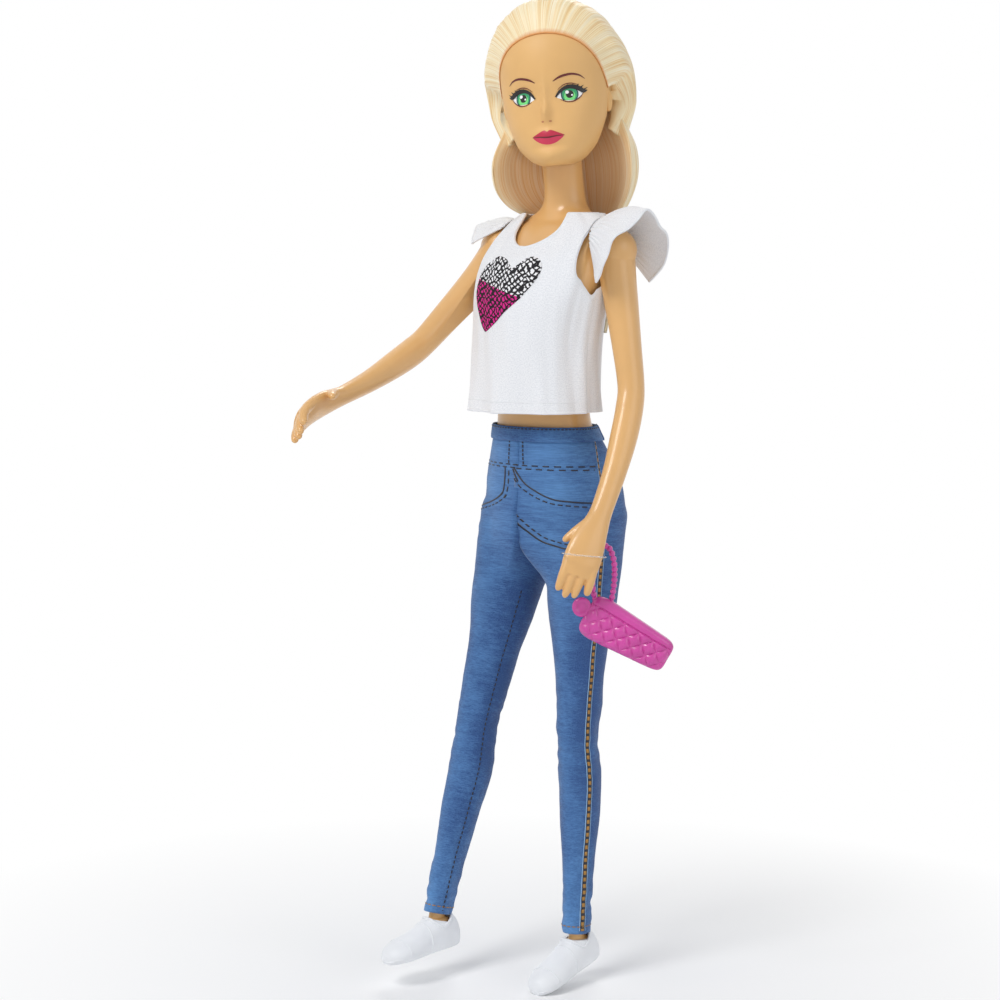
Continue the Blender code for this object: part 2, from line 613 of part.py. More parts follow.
def make_hair_crown(parts, cutters, hair):
    """The rooted hair over the scalp, open at the face along the hairline."""
    rows = [(CHIN_HEIGHT + up * HAIR_RISE, wide * HAIR_HALF_WIDTH, ahead * HAIR_DEPTH, behind * HAIR_DEPTH)
            for up, wide, ahead, behind in smooth_rows(HAIR_SHARES, 2)]
    crown = loft("hair_crown", [level_ring(row, points=HEAD_POINTS - 4) for row in rows], parts, hair)
    scalp = loft("scalp", head_rings(SEAM_GAP, True, steps=2), cutters)
    rise = HAIRLINE_HEIGHT - EAR_HEIGHT_SHARE * HEAD_RISE
    middle = CHIN_HEIGHT + EAR_HEIGHT_SHARE * HEAD_RISE
    outline = [(HAIRLINE_HALF_WIDTH * math.cos(math.radians(a)), middle + rise * math.sin(math.radians(a)))
               for a in range(0, 181, 15)]
    floor, shelf = CHIN_HEIGHT - HEAD_RISE, middle - EAR_RADIUS / 3
    outline += [(-HAIRLINE_HALF_WIDTH - OVERRUN, shelf), (-HAIRLINE_HALF_WIDTH - OVERRUN, floor),
                (HAIRLINE_HALF_WIDTH + OVERRUN, floor), (HAIRLINE_HALF_WIDTH + OVERRUN, shelf)]
    rings = [[Vector((x, y, z)) for x, z in outline] for y in (-HAIR_DEPTH - OVERRUN, HAIR_FRONT)]
    face_window = loft("face_window", rings, cutters)
    ears = []
    for side, word in ((1, "left"), (-1, "right")):
        across, back = EAR_PLACE_SHARES
        centre = Vector((side * across * HEAD_HALF_WIDTH, back * HEAD_DEPTH,
                         CHIN_HEIGHT + EAR_HEIGHT_SHARE * HEAD_RISE))
        ears.append(ball(word + "_ear_room", centre, EAR_RADIUS + 2 * SEAM_GAP, cutters,
                         shares=EAR_FORM_SHARES, points=12))
    neck_room = rod("neck_room", (0, KNOB_SET_BACK, KNOB_HEIGHT), (0, 0, -1), NECK_HOLE_RADIUS,
                    HEAD_RISE / 2, cutters)
    cut(crown, scalp, face_window, neck_room, *ears)
    return crown, [scalp, face_window, neck_room, *ears]


def make_hair_fall(parts, hair):
    """The straight length that hangs from the crown behind the neck and down the back."""
    top = CHIN_HEIGHT + HAIR_SHARES[0][0] * HAIR_RISE - SEAM_GAP
    knob = Vector((0, KNOB_SET_BACK, KNOB_HEIGHT))
    inner, outer = [], []
    for share, wide, deep, thick, sweep, twist in smooth_rows(FALL_SHARES, 3):
        height = HAIR_END_HEIGHT + share * (top - HAIR_END_HEIGHT)
        flat = FALL_ROUND_SHARE + (1 - FALL_ROUND_SHARE) * twist
        turn = Matrix.Rotation(math.radians(HEAD_TURN_DEGREES * twist), 4, "Z")
        turn = turn @ Matrix.Rotation(math.radians(HEAD_ROLL_DEGREES * twist), 4, FRONT)
        rows = ([], [])
        for k in range(FALL_POINTS):
            angle = math.radians(FALL_SWEEP_DEGREES * sweep) * (2 * k / (FALL_POINTS - 1) - 1)
            for row, grow in zip(rows, (0, thick * HAIR_THICKNESS)):
                x = (wide * HAIR_HALF_WIDTH - HAIR_THICKNESS + grow) * math.sin(angle)
                y = (deep * HAIR_DEPTH + grow) * (1 - flat * (1 - math.cos(angle)))
                row.append(knob + turn @ (Vector((x, y, height)) - knob))
        inner.append(rows[0])
        outer.append(rows[1])
    return sheet_solid("hair_fall", inner, outer, parts, hair)


def limb_frames(rows, place, reach, side):
    """Centre, tangent, side and ahead directions at each row of a limb."""
    centres = [place + Vector((side * row[0], -row[1], -row[2])) * reach for row in rows]
    frames = []
    for k, row in enumerate(rows):
        tangent = (centres[min(k + 1, len(rows) - 1)] - centres[max(k - 1, 0)]).normalized()
        out = Vector((side, 0, 0))
        out = (out - tangent * out.dot(tangent)).normalized()
        ahead = side * tangent.cross(out)
        twist = math.radians(row[5] * HAND_TWIST_DEGREES)
        frames.append((centres[k], tangent, out * math.cos(twist) + ahead * math.sin(twist),
                       ahead * math.cos(twist) - out * math.sin(twist)))
    return frames


def oval(centre, out, ahead, half_out, half_ahead, points):
    return [centre + out * half_out * math.cos(a) + ahead * half_ahead * math.sin(a)
            for a in (2 * math.pi * k / points for k in range(points))]


def finger(name, start, along, palm, length, radius, curl, group):
    """A tapering finger that bends towards the palm."""
    rings, place, before = [], Vector(start), FINGER_TAPER_SHARES[0][0]
    place += along * length * before
    side = along.cross(palm).normalized()
    for share, wide, bend in FINGER_TAPER_SHARES:
        angle = math.radians(curl * bend)
        heading = along * math.cos(angle) + palm * math.sin(angle)
        place = place + heading * length * (share - before)
        before = share
        rings.append(oval(place, side, heading.cross(side), radius * wide, radius * wide, FINGER_POINTS))
    return loft(name, rings, group)


def make_arm(side, word, curl, parts, cutters, skin):
    """One vinyl arm, with its shoulder plug, thumb and four fingers."""
    place, axis = shoulder_place(side), shoulder_axis(side)
    rows = smooth_rows(ARM_SHARES, 2)
    frames = limb_frames(rows, place, ARM_REACH, side)
    rings = [oval(centre, out, ahead, row[3] * ARM_HALF_THICKNESS, row[4] * ARM_HALF_THICKNESS, LIMB_POINTS)
             for row, (centre, tangent, out, ahead) in zip(rows, frames)]
    arm = loft(word + "_arm", rings, parts, skin)
    shoulder = ball(word + "_shoulder_ball", frames[0][0], SHOULDER_BALL_RADIUS, cutters, points=LIMB_POINTS)
    made = [shoulder]
    centre, along, out, ahead = frames[KNUCKLE_ROW]
    for number, (across, length, spread) in enumerate(FINGER_SHARES):
        start = centre + ahead * across * FINGER_SPACING
        heading = (along + ahead * spread).normalized()
        bend = curl * (LITTLE_FINGER_CURL_SHARE if number == 3 else 1)
        made.append(finger(f"{word}_finger_{number + 1}", start, heading, -out, FINGER_LENGTH * length,
                           FINGER_RADIUS, bend, cutters))
    centre, along, out, ahead = frames[THUMB_ROW]
    down, forward, outward = THUMB_HEADING_SHARES
    heading = (along * down + ahead * forward + out * outward).normalized()
    made.append(finger(word + "_thumb", centre + ahead * FINGER_SPACING, heading, -out, THUMB_LENGTH,
                       THUMB_RADIUS, curl / 2, cutters))
    join(arm, *made)
    face = beyond(word + "_arm_face", place + axis * SEAM_GAP / 2, -axis, cutters, ARM_REACH)
    cut(arm, face)
    plug = turned(word + "_arm_plug", place, axis, arm_plug_profile(0), cutters)
    join(arm, plug)
    return arm, [*made, face, plug]


def leg_rings(side, grow, steps=1):
    """Level rings of one leg from the thigh to the ankle, each `grow` outside the skin."""
    rings = []
    for drop, across, wide, ahead, behind in smooth_rows(LEG_SHARES, steps):
        ahead, behind = ahead * THIGH_DEPTH + grow, behind * THIGH_DEPTH + grow
        centre = hip_place(side) + Vector((side * across * LEG_DROP, (behind - ahead) / 2, -drop * LEG_DROP))
        rings.append(oval(centre, Vector((side, 0, 0)), FRONT, wide * THIGH_HALF_WIDTH + grow,
                          (ahead + behind) / 2, LIMB_POINTS))
    return rings


def pelvis_rings(grow, low_grow=0):
    """Level rings of the body round the hips, from below the crotch to the waist."""
    rows = [row for row in torso_rows() if row[0] <= WAIST_HEIGHT + OVERRUN / 2]
    rings = [level_ring(row, grow) for row in rows]
    rings[0] = [point - Vector((0, 0, low_grow)) for point in rings[0]]
    return rings


def ankle_place(side):
    return hip_place(side) + Vector((side * LEG_SHARES[-2][1] * LEG_DROP, 0, ANKLE_HEIGHT - HIP_HEIGHT))


def foot_directions():
    pitch = math.radians(FOOT_PITCH_DEGREES)
    return Vector((0, -math.cos(pitch), -math.sin(pitch))), Vector((0, -math.sin(pitch), math.cos(pitch)))


def shoe_rings(side, shrink, steps=1):
    """Rings from heel to toe, flat along the sole, each `shrink` inside the shoe's outer face."""
    ahead, up = foot_directions()
    rings = []
    for share, wide, tall in smooth_rows(SHOE_SHARES, steps):
        along = HEEL_SET_BACK * -1 + shrink + share * (FOOT_LENGTH - 2 * shrink)
        base = ankle_place(side) + ahead * along + up * (shrink - SOLE_DROP)
        half, height = wide * SHOE_HALF_WIDTH - shrink, tall * SHOE_HEIGHT - 2 * shrink
        ring = []
        for k in range(LIMB_POINTS):
            angle = 2 * math.pi * k / LIMB_POINTS
            level = (max(math.sin(angle), -SOLE_FLAT_SHARE) + SOLE_FLAT_SHARE) / (1 + SOLE_FLAT_SHARE)
            ring.append(base + Vector((half * math.cos(angle), 0, 0)) + up * height * level)
        rings.append(ring)
    return rings


def make_leg(side, word, parts, cutters, skin):
    """One leg from the hip's dome to the foot, bored for the hip plug."""
    leg = loft(word + "_leg", leg_rings(side, 0), parts, skin)
    hip = loft(word + "_hip", pelvis_rings(0), cutters)
    foot = loft(word + "_foot", shoe_rings(side, SHOE_WALL + SEAM_GAP), cutters)
    room = hip_room(word + "_leg_room", side, 0, cutters)
    bore = turned(word + "_plug_bore", hip_place(side), hip_axis(side), hip_plug_profile(SEAM_GAP), cutters)
    join(leg, hip)
    combine(leg, room, "INTERSECT")
    join(leg, foot)
    cut(leg, bore)
    return leg, [hip, foot, room, bore]


def make_hip_plug(side, word, parts, finish):
    return turned(word + "_hip_plug", hip_place(side), hip_axis(side), hip_plug_profile(0), parts, finish)


def make_shoe(side, word, parts, cutters, finish):
    """A soft low shoe: a thin upper and sole, open where the ankle comes out."""
    shoe = loft(word + "_shoe", shoe_rings(side, 0, 2), parts, finish)
    inside = loft(word + "_shoe_inside", shoe_rings(side, SHOE_WALL), cutters)
    mouth = rod(word + "_shoe_mouth", ankle_place(side) - Vector((0, 0, SOLE_DROP / 3)), (0, 0, 1),
                SHOE_MOUTH_RADIUS, SHOE_HEIGHT, cutters)
    cut(shoe, inside, mouth)
    return shoe, [inside, mouth]


def make_jeans_leg(side, word, parts, cutters, denim):
    """One leg of the jeans with its side of the hip, split from the seat where the leg turns."""
    outside = JEANS_EASE + CLOTH
    jeans = loft(word + "_jeans_leg", leg_rings(side, outside, 2), parts, denim)
    hip = loft(word + "_jeans_hip", pelvis_rings(outside, CLOTH), cutters)
    leg_space = loft(word + "_leg_space", leg_rings(side, JEANS_EASE), cutters)
    hip_space = loft(word + "_hip_space", pelvis_rings(JEANS_EASE), cutters)
    room = hip_room(word + "_jeans_room", side, 0, cutters)
    hem = beyond(word + "_jeans_hem", (0, 0, HEM_HEIGHT), (0, 0, -1), cutters)
    join(jeans, hip)
    combine(jeans, room, "INTERSECT")
    cut(jeans, leg_space, hip_space, hem)
    return jeans, [hip, leg_space, hip_space, room, hem]


def make_jeans_seat(parts, cutters, denim):
    """The middle of the jeans, between the two legs and up to the waistband."""
    outside = JEANS_EASE + CLOTH
    seat = loft("jeans_seat", pelvis_rings(outside, CLOTH), parts, denim)
    space = loft("seat_space", pelvis_rings(JEANS_EASE), cutters)
    top = beyond("seat_top", (0, 0, WAIST_HEIGHT - WAISTBAND_RISE), (0, 0, 1), cutters)
    made = [hip_room(word + "_seat_room", side, SEAM_GAP, cutters) for side, word in ((1, "left"), (-1, "right"))]
    cut(seat, space, top, *made)
    return seat


def wrap_panel(name, rows, start, stop, offset, thickness, parts, finish, columns=16):
    """A curved panel round the body, from one angle to another; `offset` gives its inner face's distance."""
    inner, outer = [], []
    for row in rows:
        rings = ([], [])
        for k in range(columns):
            angle = start + (stop - start) * k / (columns - 1)
            for ring, grow in zip(rings, (offset(angle), offset(angle) + thickness)):
                ring += level_ring(row, grow, points=1, start=angle)
        inner.append(rings[0])
        outer.append(rings[1])
    return sheet_solid(name, inner, outer, parts, finish)


def lifted(base, edge, lift):
    """An offset that rises by `lift` near the back edge, where one end laps over the closure."""
    def offset(angle):
        share = min(max((angle - edge) / CLOSURE_EASE_DEGREES, 0), 1)
        return base + lift * share * share * (3 - 2 * share)
    return offset


def make_strips(name, rows, offset, parts, trim):
    """The loop strip and the hook strip above it, which hold the lap of a back opening."""
    edge = CLOSURE_LAP_DEGREES - CLOSURE_INSET_DEGREES
    made = []
    for kind, level in (("loop", 0), ("hook", CLOSURE_THICKNESS + SEAM_GAP)):
        made.append(wrap_panel(f"{name}_{kind}_strip", rows, 180 - edge, 180 + edge,
                               lambda angle, level=level: offset + SEAM_GAP + level, CLOSURE_THICKNESS,
                               parts, trim, columns=5))
    return made


def lap_lift(thickness):
    return thickness + 2 * (CLOSURE_THICKNESS + SEAM_GAP) + SEAM_GAP


def make_waistband(parts, denim, trim):
    """One band round the waist, whose end laps over its start with the closure strips between."""
    rows = trimmed(torso_rows(), WAIST_HEIGHT - WAISTBAND_RISE + SEAM_GAP, WAIST_HEIGHT - SEAM_GAP)
    thick = CLOTH + WAISTBAND_EXTRA
    edge = 180 - CLOSURE_LAP_DEGREES - CLOSURE_EASE_DEGREES
    band = wrap_panel("jeans_waistband", rows, -180 - CLOSURE_LAP_DEGREES, 180 + CLOSURE_LAP_DEGREES,
                      lifted(JEANS_EASE, edge, lap_lift(thick)), thick, parts, denim, columns=38)
    inset = trimmed(rows, rows[0][0] + SEAM_GAP, rows[-1][0] - SEAM_GAP)
    return [band, *make_strips("jeans", inset, JEANS_EASE + thick, parts, trim)]


def shirt_rows():
    rise = NECK_BASE_HEIGHT - SHIRT_HEM_HEIGHT
    rows = [(SHIRT_HEM_HEIGHT + up * rise, wide * BUST_HALF_WIDTH, ahead * BUST_DEPTH, behind * BUST_DEPTH)
            for up, wide, ahead, behind in SHIRT_SHARES]
    return smooth_rows(rows, 1)


def make_shirt(parts, cutters, cotton, trim):
    """A front and two back panels, cut out at the arms and the neck, the left back lapped over the right."""
    rows = shirt_rows()
    gap = math.degrees(SEAM_GAP / BUST_HALF_WIDTH)
    edge = 180 - CLOSURE_LAP_DEGREES - CLOSURE_EASE_DEGREES
    front = wrap_panel("shirt_front", rows, -SIDE_SEAM_DEGREES, SIDE_SEAM_DEGREES, lambda angle: -CLOTH, CLOTH,
                       parts, cotton, columns=21)
    left = wrap_panel("shirt_back_left", rows, SIDE_SEAM_DEGREES + gap, 180 + CLOSURE_LAP_DEGREES,
                      lifted(-CLOTH, edge, lap_lift(CLOTH)), CLOTH, parts, cotton, columns=15)
    right = wrap_panel("shirt_back_right", rows, -180 - CLOSURE_LAP_DEGREES, -SIDE_SEAM_DEGREES - gap,
                       lambda angle: -CLOTH, CLOTH, parts, cotton, columns=12)
    neckline = ball("neckline", Vector((0, -NECKLINE_AHEAD, NECK_BASE_HEIGHT)), NECKLINE_DEPTH, cutters,
                    shares=(NECKLINE_HALF_WIDTH / NECKLINE_DEPTH, 1, NECKLINE_DROP / NECKLINE_DEPTH), points=28)
    armholes = [beyond(word + "_armhole", shoulder_place(side) - shoulder_axis(side) * SEAM_GAP / 2,
                       shoulder_axis(side), cutters) for side, word in ((1, "left"), (-1, "right"))]
    cut(front, neckline, *armholes)
    cut(left, armholes[0])
    cut(right, armholes[1])
    inset = trimmed(rows, rows[0][0] + CLOTH, rows[-1][0] - CLOTH)
    return [front, left, right, *make_strips("shirt", inset, 0, parts, trim)], [neckline, *armholes]


def thickened(name, grid, thickness, parts, finish):
    """A sheet of even thickness about a grid of points."""
    inner, outer = [], []
    rows, columns = len(grid), len(grid[0])
    for i in range(rows):
        faces = ([], [])
        for j in range(columns):
            along = grid[min(i + 1, rows - 1)][j] - grid[max(i - 1, 0)][j]
            across = grid[i][min(j + 1, columns - 1)] - grid[i][max(j - 1, 0)]
            normal = along.cross(across).normalized()
            faces[0].append(grid[i][j] - normal * thickness / 2)
            faces[1].append(grid[i][j] + normal * thickness / 2)
        inner.append(faces[0])
        outer.append(faces[1])
    return sheet_solid(name, inner, outer, parts, finish)


def make_sleeve(side, word, front_degrees, parts, cotton):
    """A cap of cloth that stands out over the arm, waved at its free edge and open underneath."""
    place, axis = shoulder_place(side), shoulder_axis(side)
    up = (Vector((0, 0, 1)) - axis * axis.z).normalized()
    ahead = side * axis.cross(up)
    grid = []
    sweep = front_degrees + SLEEVE_BACK_DEGREES
    for i in range(SLEEVE_ROWS):
        t = i / (SLEEVE_ROWS - 1)
        row = []
        for j in range(SLEEVE_COLUMNS):
            turn = math.radians(-SLEEVE_BACK_DEGREES + sweep * j / (SLEEVE_COLUMNS - 1))
            spoke = ahead * math.sin(turn) + up * math.cos(turn)
            seam = axis * (SEAM_GAP + CLOTH) + spoke * SLEEVE_SEAM_RADIUS
            edge = axis * SLEEVE_REACH * (SLEEVE_SIDE_SHARE + (1 - SLEEVE_SIDE_SHARE) * math.cos(turn))
            edge += ahead * SLEEVE_SPREAD_SHARE * SLEEVE_RADIUS * math.sin(turn)
            edge += up * (SLEEVE_RADIUS * math.cos(turn) - SLEEVE_DROP - SLEEVE_SAG * math.sin(turn) ** 2)
            lift = up * SLEEVE_ARCH * math.sin(math.pi * t) * max(math.cos(turn), 0)
            wave = spoke * SLEEVE_WAVE * t * t * math.cos(2 * SLEEVE_WAVES * turn)
            row.append(place + seam * (1 - t) + edge * t + lift + wave)
        grid.append(row)
    return thickened(word + "_sleeve", grid, CLOTH, parts, cotton)


def bag_frame():
    """The bag's hanging point, the level way across it, along its length, up its height and out of its face."""
    facing, tilt = math.radians(BAG_FACING_DEGREES), math.radians(BAG_TILT_DEGREES)
    out, ahead, down = BAG_HANG_SHARES
    hang_point = shoulder_place(1) + Vector((out, -ahead, -down)) * ARM_REACH
    across = Vector((math.cos(facing), math.sin(facing), 0))
    up = Vector((0, 0, 1))
    along = across * math.cos(tilt) - up * math.sin(tilt)
    rise = across * math.sin(tilt) + up * math.cos(tilt)
    return hang_point, across, along, rise, Vector((math.sin(facing), -math.cos(facing), 0))


def make_handbag(parts, cutters, vinyl):
    """A quilted pouch with a plain rim, a strap loop and a round tab, all one moulding."""
    hang_point, across, along, rise, face = bag_frame()
    up = Vector((0, 0, 1))
    centre = hang_point + across * BAG_CENTRE_ACROSS - up * BAG_CENTRE_DROP
    front, back = [], []
    for i in range(BAG_ROWS):
        v = (2 * i / (BAG_ROWS - 1) - 1) * BAG_EDGE_SHARE
        rows = ([], [])
        for j in range(BAG_COLUMNS):
            w = (2 * j / (BAG_COLUMNS - 1) - 1) * BAG_EDGE_SHARE
            reach = BAG_LENGTH / 2 * (1 - abs(v) ** BAG_SQUARENESS) ** (1 / BAG_SQUARENESS)
            level = BAG_HEIGHT / 2 * v * (1 - BAG_TAPER_SHARE * w)
            puff = math.sqrt((1 - w ** BAG_SQUARENESS) * (1 - v ** BAG_SQUARENESS))
            if v < BAG_RIM_SHARE:
                cell = abs(math.sin(math.pi * w * reach / BAG_QUILT) * math.sin(math.pi * level / BAG_QUILT))
                puff *= 1 - BAG_QUILT_SHARE * (1 - math.sqrt(cell))
            else:
                puff *= 1 - BAG_QUILT_SHARE
            depth = BAG_HALF_DEPTH * max(puff, BAG_QUILT_SHARE)
            spot = centre + along * w * reach + rise * level
            rows[0].append(spot - face * depth)
            rows[1].append(spot + face * depth)
        back.append(rows[0])
        front.append(rows[1])
    bag = sheet_solid("handbag", back, front, parts, vinyl)
    strap = tube("bag_strap", [hang_point + (across * x - up * z) * BAG_STRAP_DROP for x, z in BAG_STRAP_SHARES],
                 BAG_STRAP_RADIUS, cutters, closed=False)
    middle = hang_point + across * BAG_TAB_ACROSS - up * BAG_TAB_DROP
    tab = rod("bag_tab", middle - face * BAG_TAB_HALF_DEPTH, face, BAG_TAB_RADIUS, 2 * BAG_TAB_HALF_DEPTH,
              cutters)
    join(bag, strap, tab)
    return bag, [strap, tab]


def make_wrist_thread(parts, clear):
    """A closed loop of clear thread round the left hand and through the bag's strap."""
    rows = smooth_rows(ARM_SHARES, 2)
    centre = limb_frames(rows, shoulder_place(1), ARM_REACH, 1)[THREAD_ROW][0]
    back = bag_frame()[0] - Vector((0, 0, 2 * THREAD_RADIUS)) - centre
    side = Vector((-back.y, back.x, 0)).normalized() * THREAD_HALF_WIDTH
    points = [centre + back * math.cos(a) + side * math.sin(a) for a in (math.pi * k / 12 for k in range(24))]
    return tube("wrist_thread", points, THREAD_RADIUS, parts, clear)


def build():
    clear_scene()
    parts, cutters = collection("fashion_doll"), collection("cutters")
    skin = material("body_vinyl", (0.78, 0.46, 0.23), 0.35)
    face = material("head_vinyl", (0.78, 0.46, 0.16), 0.6)
    hair = material("hair", (0.80, 0.61, 0.33), 0.45)
    cotton = material("shirt_cloth", (0.86, 0.86, 0.86), 0.9)
    denim = material("denim_print", (0.07, 0.19, 0.45), 0.85)
    trim = material("closure_tape", (0.70, 0.70, 0.70), 0.9)
    white = material("shoe_vinyl", (0.86, 0.86, 0.86), 0.4)
    pink = material("bag_vinyl", (0.61, 0.07, 0.38), 0.35)
    clear = material("clear_thread", (0.85, 0.85, 0.85), 0.2)

    root = pivot("doll", Vector(), (0, 0, 1), 0, parts)
    moves = []

    halves = make_torso(parts, cutters, skin)
    shirt, shirt_cutters = make_shirt(parts, cutters, cotton, trim)
    make_jeans_seat(parts, cutters, denim)
    make_waistband(parts, denim, trim)

    knob_place = Vector((0, KNOB_SET_BACK, KNOB_HEIGHT))
    neck = pivot("head_turn", knob_place, (0, 0, 1), HEAD_TURN_DEGREES, parts)
    nod = pivot("head_nod", knob_place, (0, 0, 1), HEAD_TURN_DEGREES, parts)
    nod.matrix_world = nod.matrix_world @ Matrix.Rotation(math.radians(HEAD_ROLL_DEGREES), 4, FRONT)
    moves.append((neck, Matrix.Translation(knob_place), [make_neck_knob(parts, skin)]))
    head, head_cutters = make_head(parts, cutters, face)
    crown, crown_cutters = make_hair_crown(parts, cutters, hair)
    moves.append((nod, Matrix.Translation(knob_place), [head, *head_cutters, crown, *crown_cutters]))
    moves.append((nod, nod.matrix_world.copy(), [make_hair_fall(parts, hair)]))

    for side, word, arm_turn, leg_turn, curl, sleeve_front in (
            (1, "left", LEFT_ARM_TURN_DEGREES, LEFT_LEG_TURN_DEGREES, LEFT_CURL_DEGREES,
             LEFT_SLEEVE_FRONT_DEGREES),
            (-1, "right", RIGHT_ARM_TURN_DEGREES, RIGHT_LEG_TURN_DEGREES, RIGHT_CURL_DEGREES,
             RIGHT_SLEEVE_FRONT_DEGREES)):
        shoulder = pivot(word + "_shoulder", shoulder_place(side), shoulder_axis(side), -side * arm_turn, parts)
        arm, arm_cutters = make_arm(side, word, curl, parts, cutters, skin)
        sleeve = make_sleeve(side, word, sleeve_front, parts, cotton)
        moves.append((shoulder, Matrix.Translation(shoulder_place(side)), [arm, *arm_cutters, sleeve]))
        hip = pivot(word + "_hip", hip_place(side), hip_axis(side), -side * leg_turn, parts)
        leg, leg_cutters = make_leg(side, word, parts, cutters, skin)
        shoe, shoe_cutters = make_shoe(side, word, parts, cutters, white)
        jeans, jeans_cutters = make_jeans_leg(side, word, parts, cutters, denim)
        moves.append((hip, Matrix.Translation(hip_place(side)),
                      [leg, *leg_cutters, shoe, *shoe_cutters, jeans, *jeans_cutters,
                       make_hip_plug(side, word, parts, skin)]))

    hang_point, across, along, rise, outward = bag_frame()
    swing = pivot("bag_swing", hang_point, outward, 0, parts)
    bag, bag_cutters = make_handbag(parts, cutters, pink)
    moves.append((swing, Matrix.Translation(hang_point), [bag, *bag_cutters]))
    shoulder = bpy.data.objects["left_shoulder"]
    moves.append((shoulder, Matrix.Translation(shoulder_place(1)), [make_wrist_thread(parts, clear)]))

    for carrier, frame, objects in moves:
        for made in objects:
            made.data.transform(frame.inverted())
            made.parent = carrier
    for made in [*parts.objects, *cutters.objects]:
        if made is not root and made.parent is None:
            made.parent = root
    settle(root, parts)


def settle(root, parts):
    """Moves the whole doll so that its lowest point is at height zero and it is centred."""
    bpy.context.view_layer.update()
    graph = bpy.context.evaluated_depsgraph_get()
    low, high = Vector((math.inf,) * 3), Vector((-math.inf,) * 3)
    for made in parts.objects:
        if made.type != "MESH":
            continue
        shown = made.evaluated_get(graph)
        for vertex in shown.to_mesh().vertices:
            point = shown.matrix_world @ vertex.co
            low = Vector(map(min, low, point))
            high = Vector(map(max, high, point))
        shown.to_mesh_clear()
    root.location = (-(low.x + high.x) / 2, -(low.y + high.y) / 2, -low.z)
    bpy.context.view_layer.update()
    print("box", *(f"{value:.5f}" for value in high - low))
    for joint in parts.objects:
        if joint.type == "EMPTY":
            print("joint", joint.name, *(f"{value:.5f}" for value in joint.matrix_world.translation))


build()
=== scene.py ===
"""Fashion doll in a cropped tee, printed jeans and low shoes, with a small handbag on one wrist."""
import json
import math

import bmesh
import bpy
from mathutils import Matrix, Vector, noise
from mathutils.bvhtree import BVHTree


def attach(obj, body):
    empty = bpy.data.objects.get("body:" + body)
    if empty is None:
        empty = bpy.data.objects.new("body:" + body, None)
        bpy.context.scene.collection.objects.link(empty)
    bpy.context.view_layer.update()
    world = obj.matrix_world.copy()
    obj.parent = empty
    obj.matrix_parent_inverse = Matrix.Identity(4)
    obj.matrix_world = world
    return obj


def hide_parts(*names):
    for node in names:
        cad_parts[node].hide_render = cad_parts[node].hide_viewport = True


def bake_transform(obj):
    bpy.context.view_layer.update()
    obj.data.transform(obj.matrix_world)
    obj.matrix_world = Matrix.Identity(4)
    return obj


bl_info = {
    "name": "Fashion doll",
    "version": (1, 0, 0),
    "blender": (4, 5, 0),
    "location": "View3D > Sidebar > Doll",
    "description": "Dresses the packed doll with skin, hair, cloth, shoes and handbag",
    "category": "Object",
}

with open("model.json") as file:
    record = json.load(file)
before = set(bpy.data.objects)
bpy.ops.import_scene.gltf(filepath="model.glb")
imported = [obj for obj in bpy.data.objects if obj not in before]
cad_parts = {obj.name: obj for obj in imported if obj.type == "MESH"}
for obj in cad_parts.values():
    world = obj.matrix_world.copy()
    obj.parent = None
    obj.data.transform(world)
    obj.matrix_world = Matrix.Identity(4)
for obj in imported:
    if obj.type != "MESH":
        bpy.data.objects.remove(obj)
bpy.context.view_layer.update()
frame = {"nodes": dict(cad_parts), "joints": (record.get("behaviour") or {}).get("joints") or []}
JOINTS = {joint["name"]: joint for joint in frame["joints"]}

# Values that the modelled part shares, in metres

# Fits and walls
SEAM_GAP = 0.0003
# Heights above the toes in the neutral stance, from the hem of the jeans up
HEM_HEIGHT = 0.0200
ANKLE_DROP = 0.0020
LEG_DROP = 0.1270
PELVIS_RISE = 0.0220
SHIRT_HEM_RISE = 0.0040
CHEST_RISE = 0.0620
SHOULDER_DROP = 0.0100
NECK_RISE = 0.0165
KNOB_RISE = 0.0059
CHIN_DROP = 0.0035
ANKLE_HEIGHT = HEM_HEIGHT - ANKLE_DROP
HIP_HEIGHT = HEM_HEIGHT + LEG_DROP
WAIST_HEIGHT = HIP_HEIGHT + PELVIS_RISE
SHIRT_HEM_HEIGHT = WAIST_HEIGHT + SHIRT_HEM_RISE
NECK_BASE_HEIGHT = WAIST_HEIGHT + CHEST_RISE
SHOULDER_HEIGHT = NECK_BASE_HEIGHT - SHOULDER_DROP
NECK_TOP_HEIGHT = NECK_BASE_HEIGHT + NECK_RISE
KNOB_HEIGHT = NECK_TOP_HEIGHT + KNOB_RISE
CHIN_HEIGHT = NECK_TOP_HEIGHT - CHIN_DROP

# Torso, in half widths and in reaches ahead of and behind the centre line
HIP_HALF_WIDTH = 0.0219
HIP_DEPTH = 0.0172
BUST_HALF_WIDTH = 0.0190
BUST_DEPTH = 0.0180
NECK_RADIUS = 0.0062
NECK_SET_BACK = 0.0060
KNOB_SET_BACK = 0.0042
# Rows of height share from hips to crotch or waist, then width share and front and back shares of depth
PELVIS_SHARES = ((-0.85, 0.84, 0.66, 0.80), (-0.60, 0.92, 0.70, 0.88), (-0.18, 1.0, 0.81, 1.0),
                 (0.20, 0.98, 0.84, 0.97), (0.60, 0.84, 0.85, 0.78), (1.0, 0.70, 0.84, 0.50))
# Rows of height share from waist to neck base, then shares of the bust's width and depth
CHEST_SHARES = ((0.0, 0.815, 0.800, 0.480), (0.14, 0.800, 0.810, 0.430), (0.32, 0.860, 0.850, 0.490),
                (0.48, 0.930, 0.900, 0.570), (0.61, 0.990, 0.980, 0.640), (0.74, 1.040, 0.800, 0.680),
                (0.84, 1.060, 0.500, 0.700), (0.92, 0.900, 0.260, 0.690), (0.97, 0.600, 0.090, 0.680))

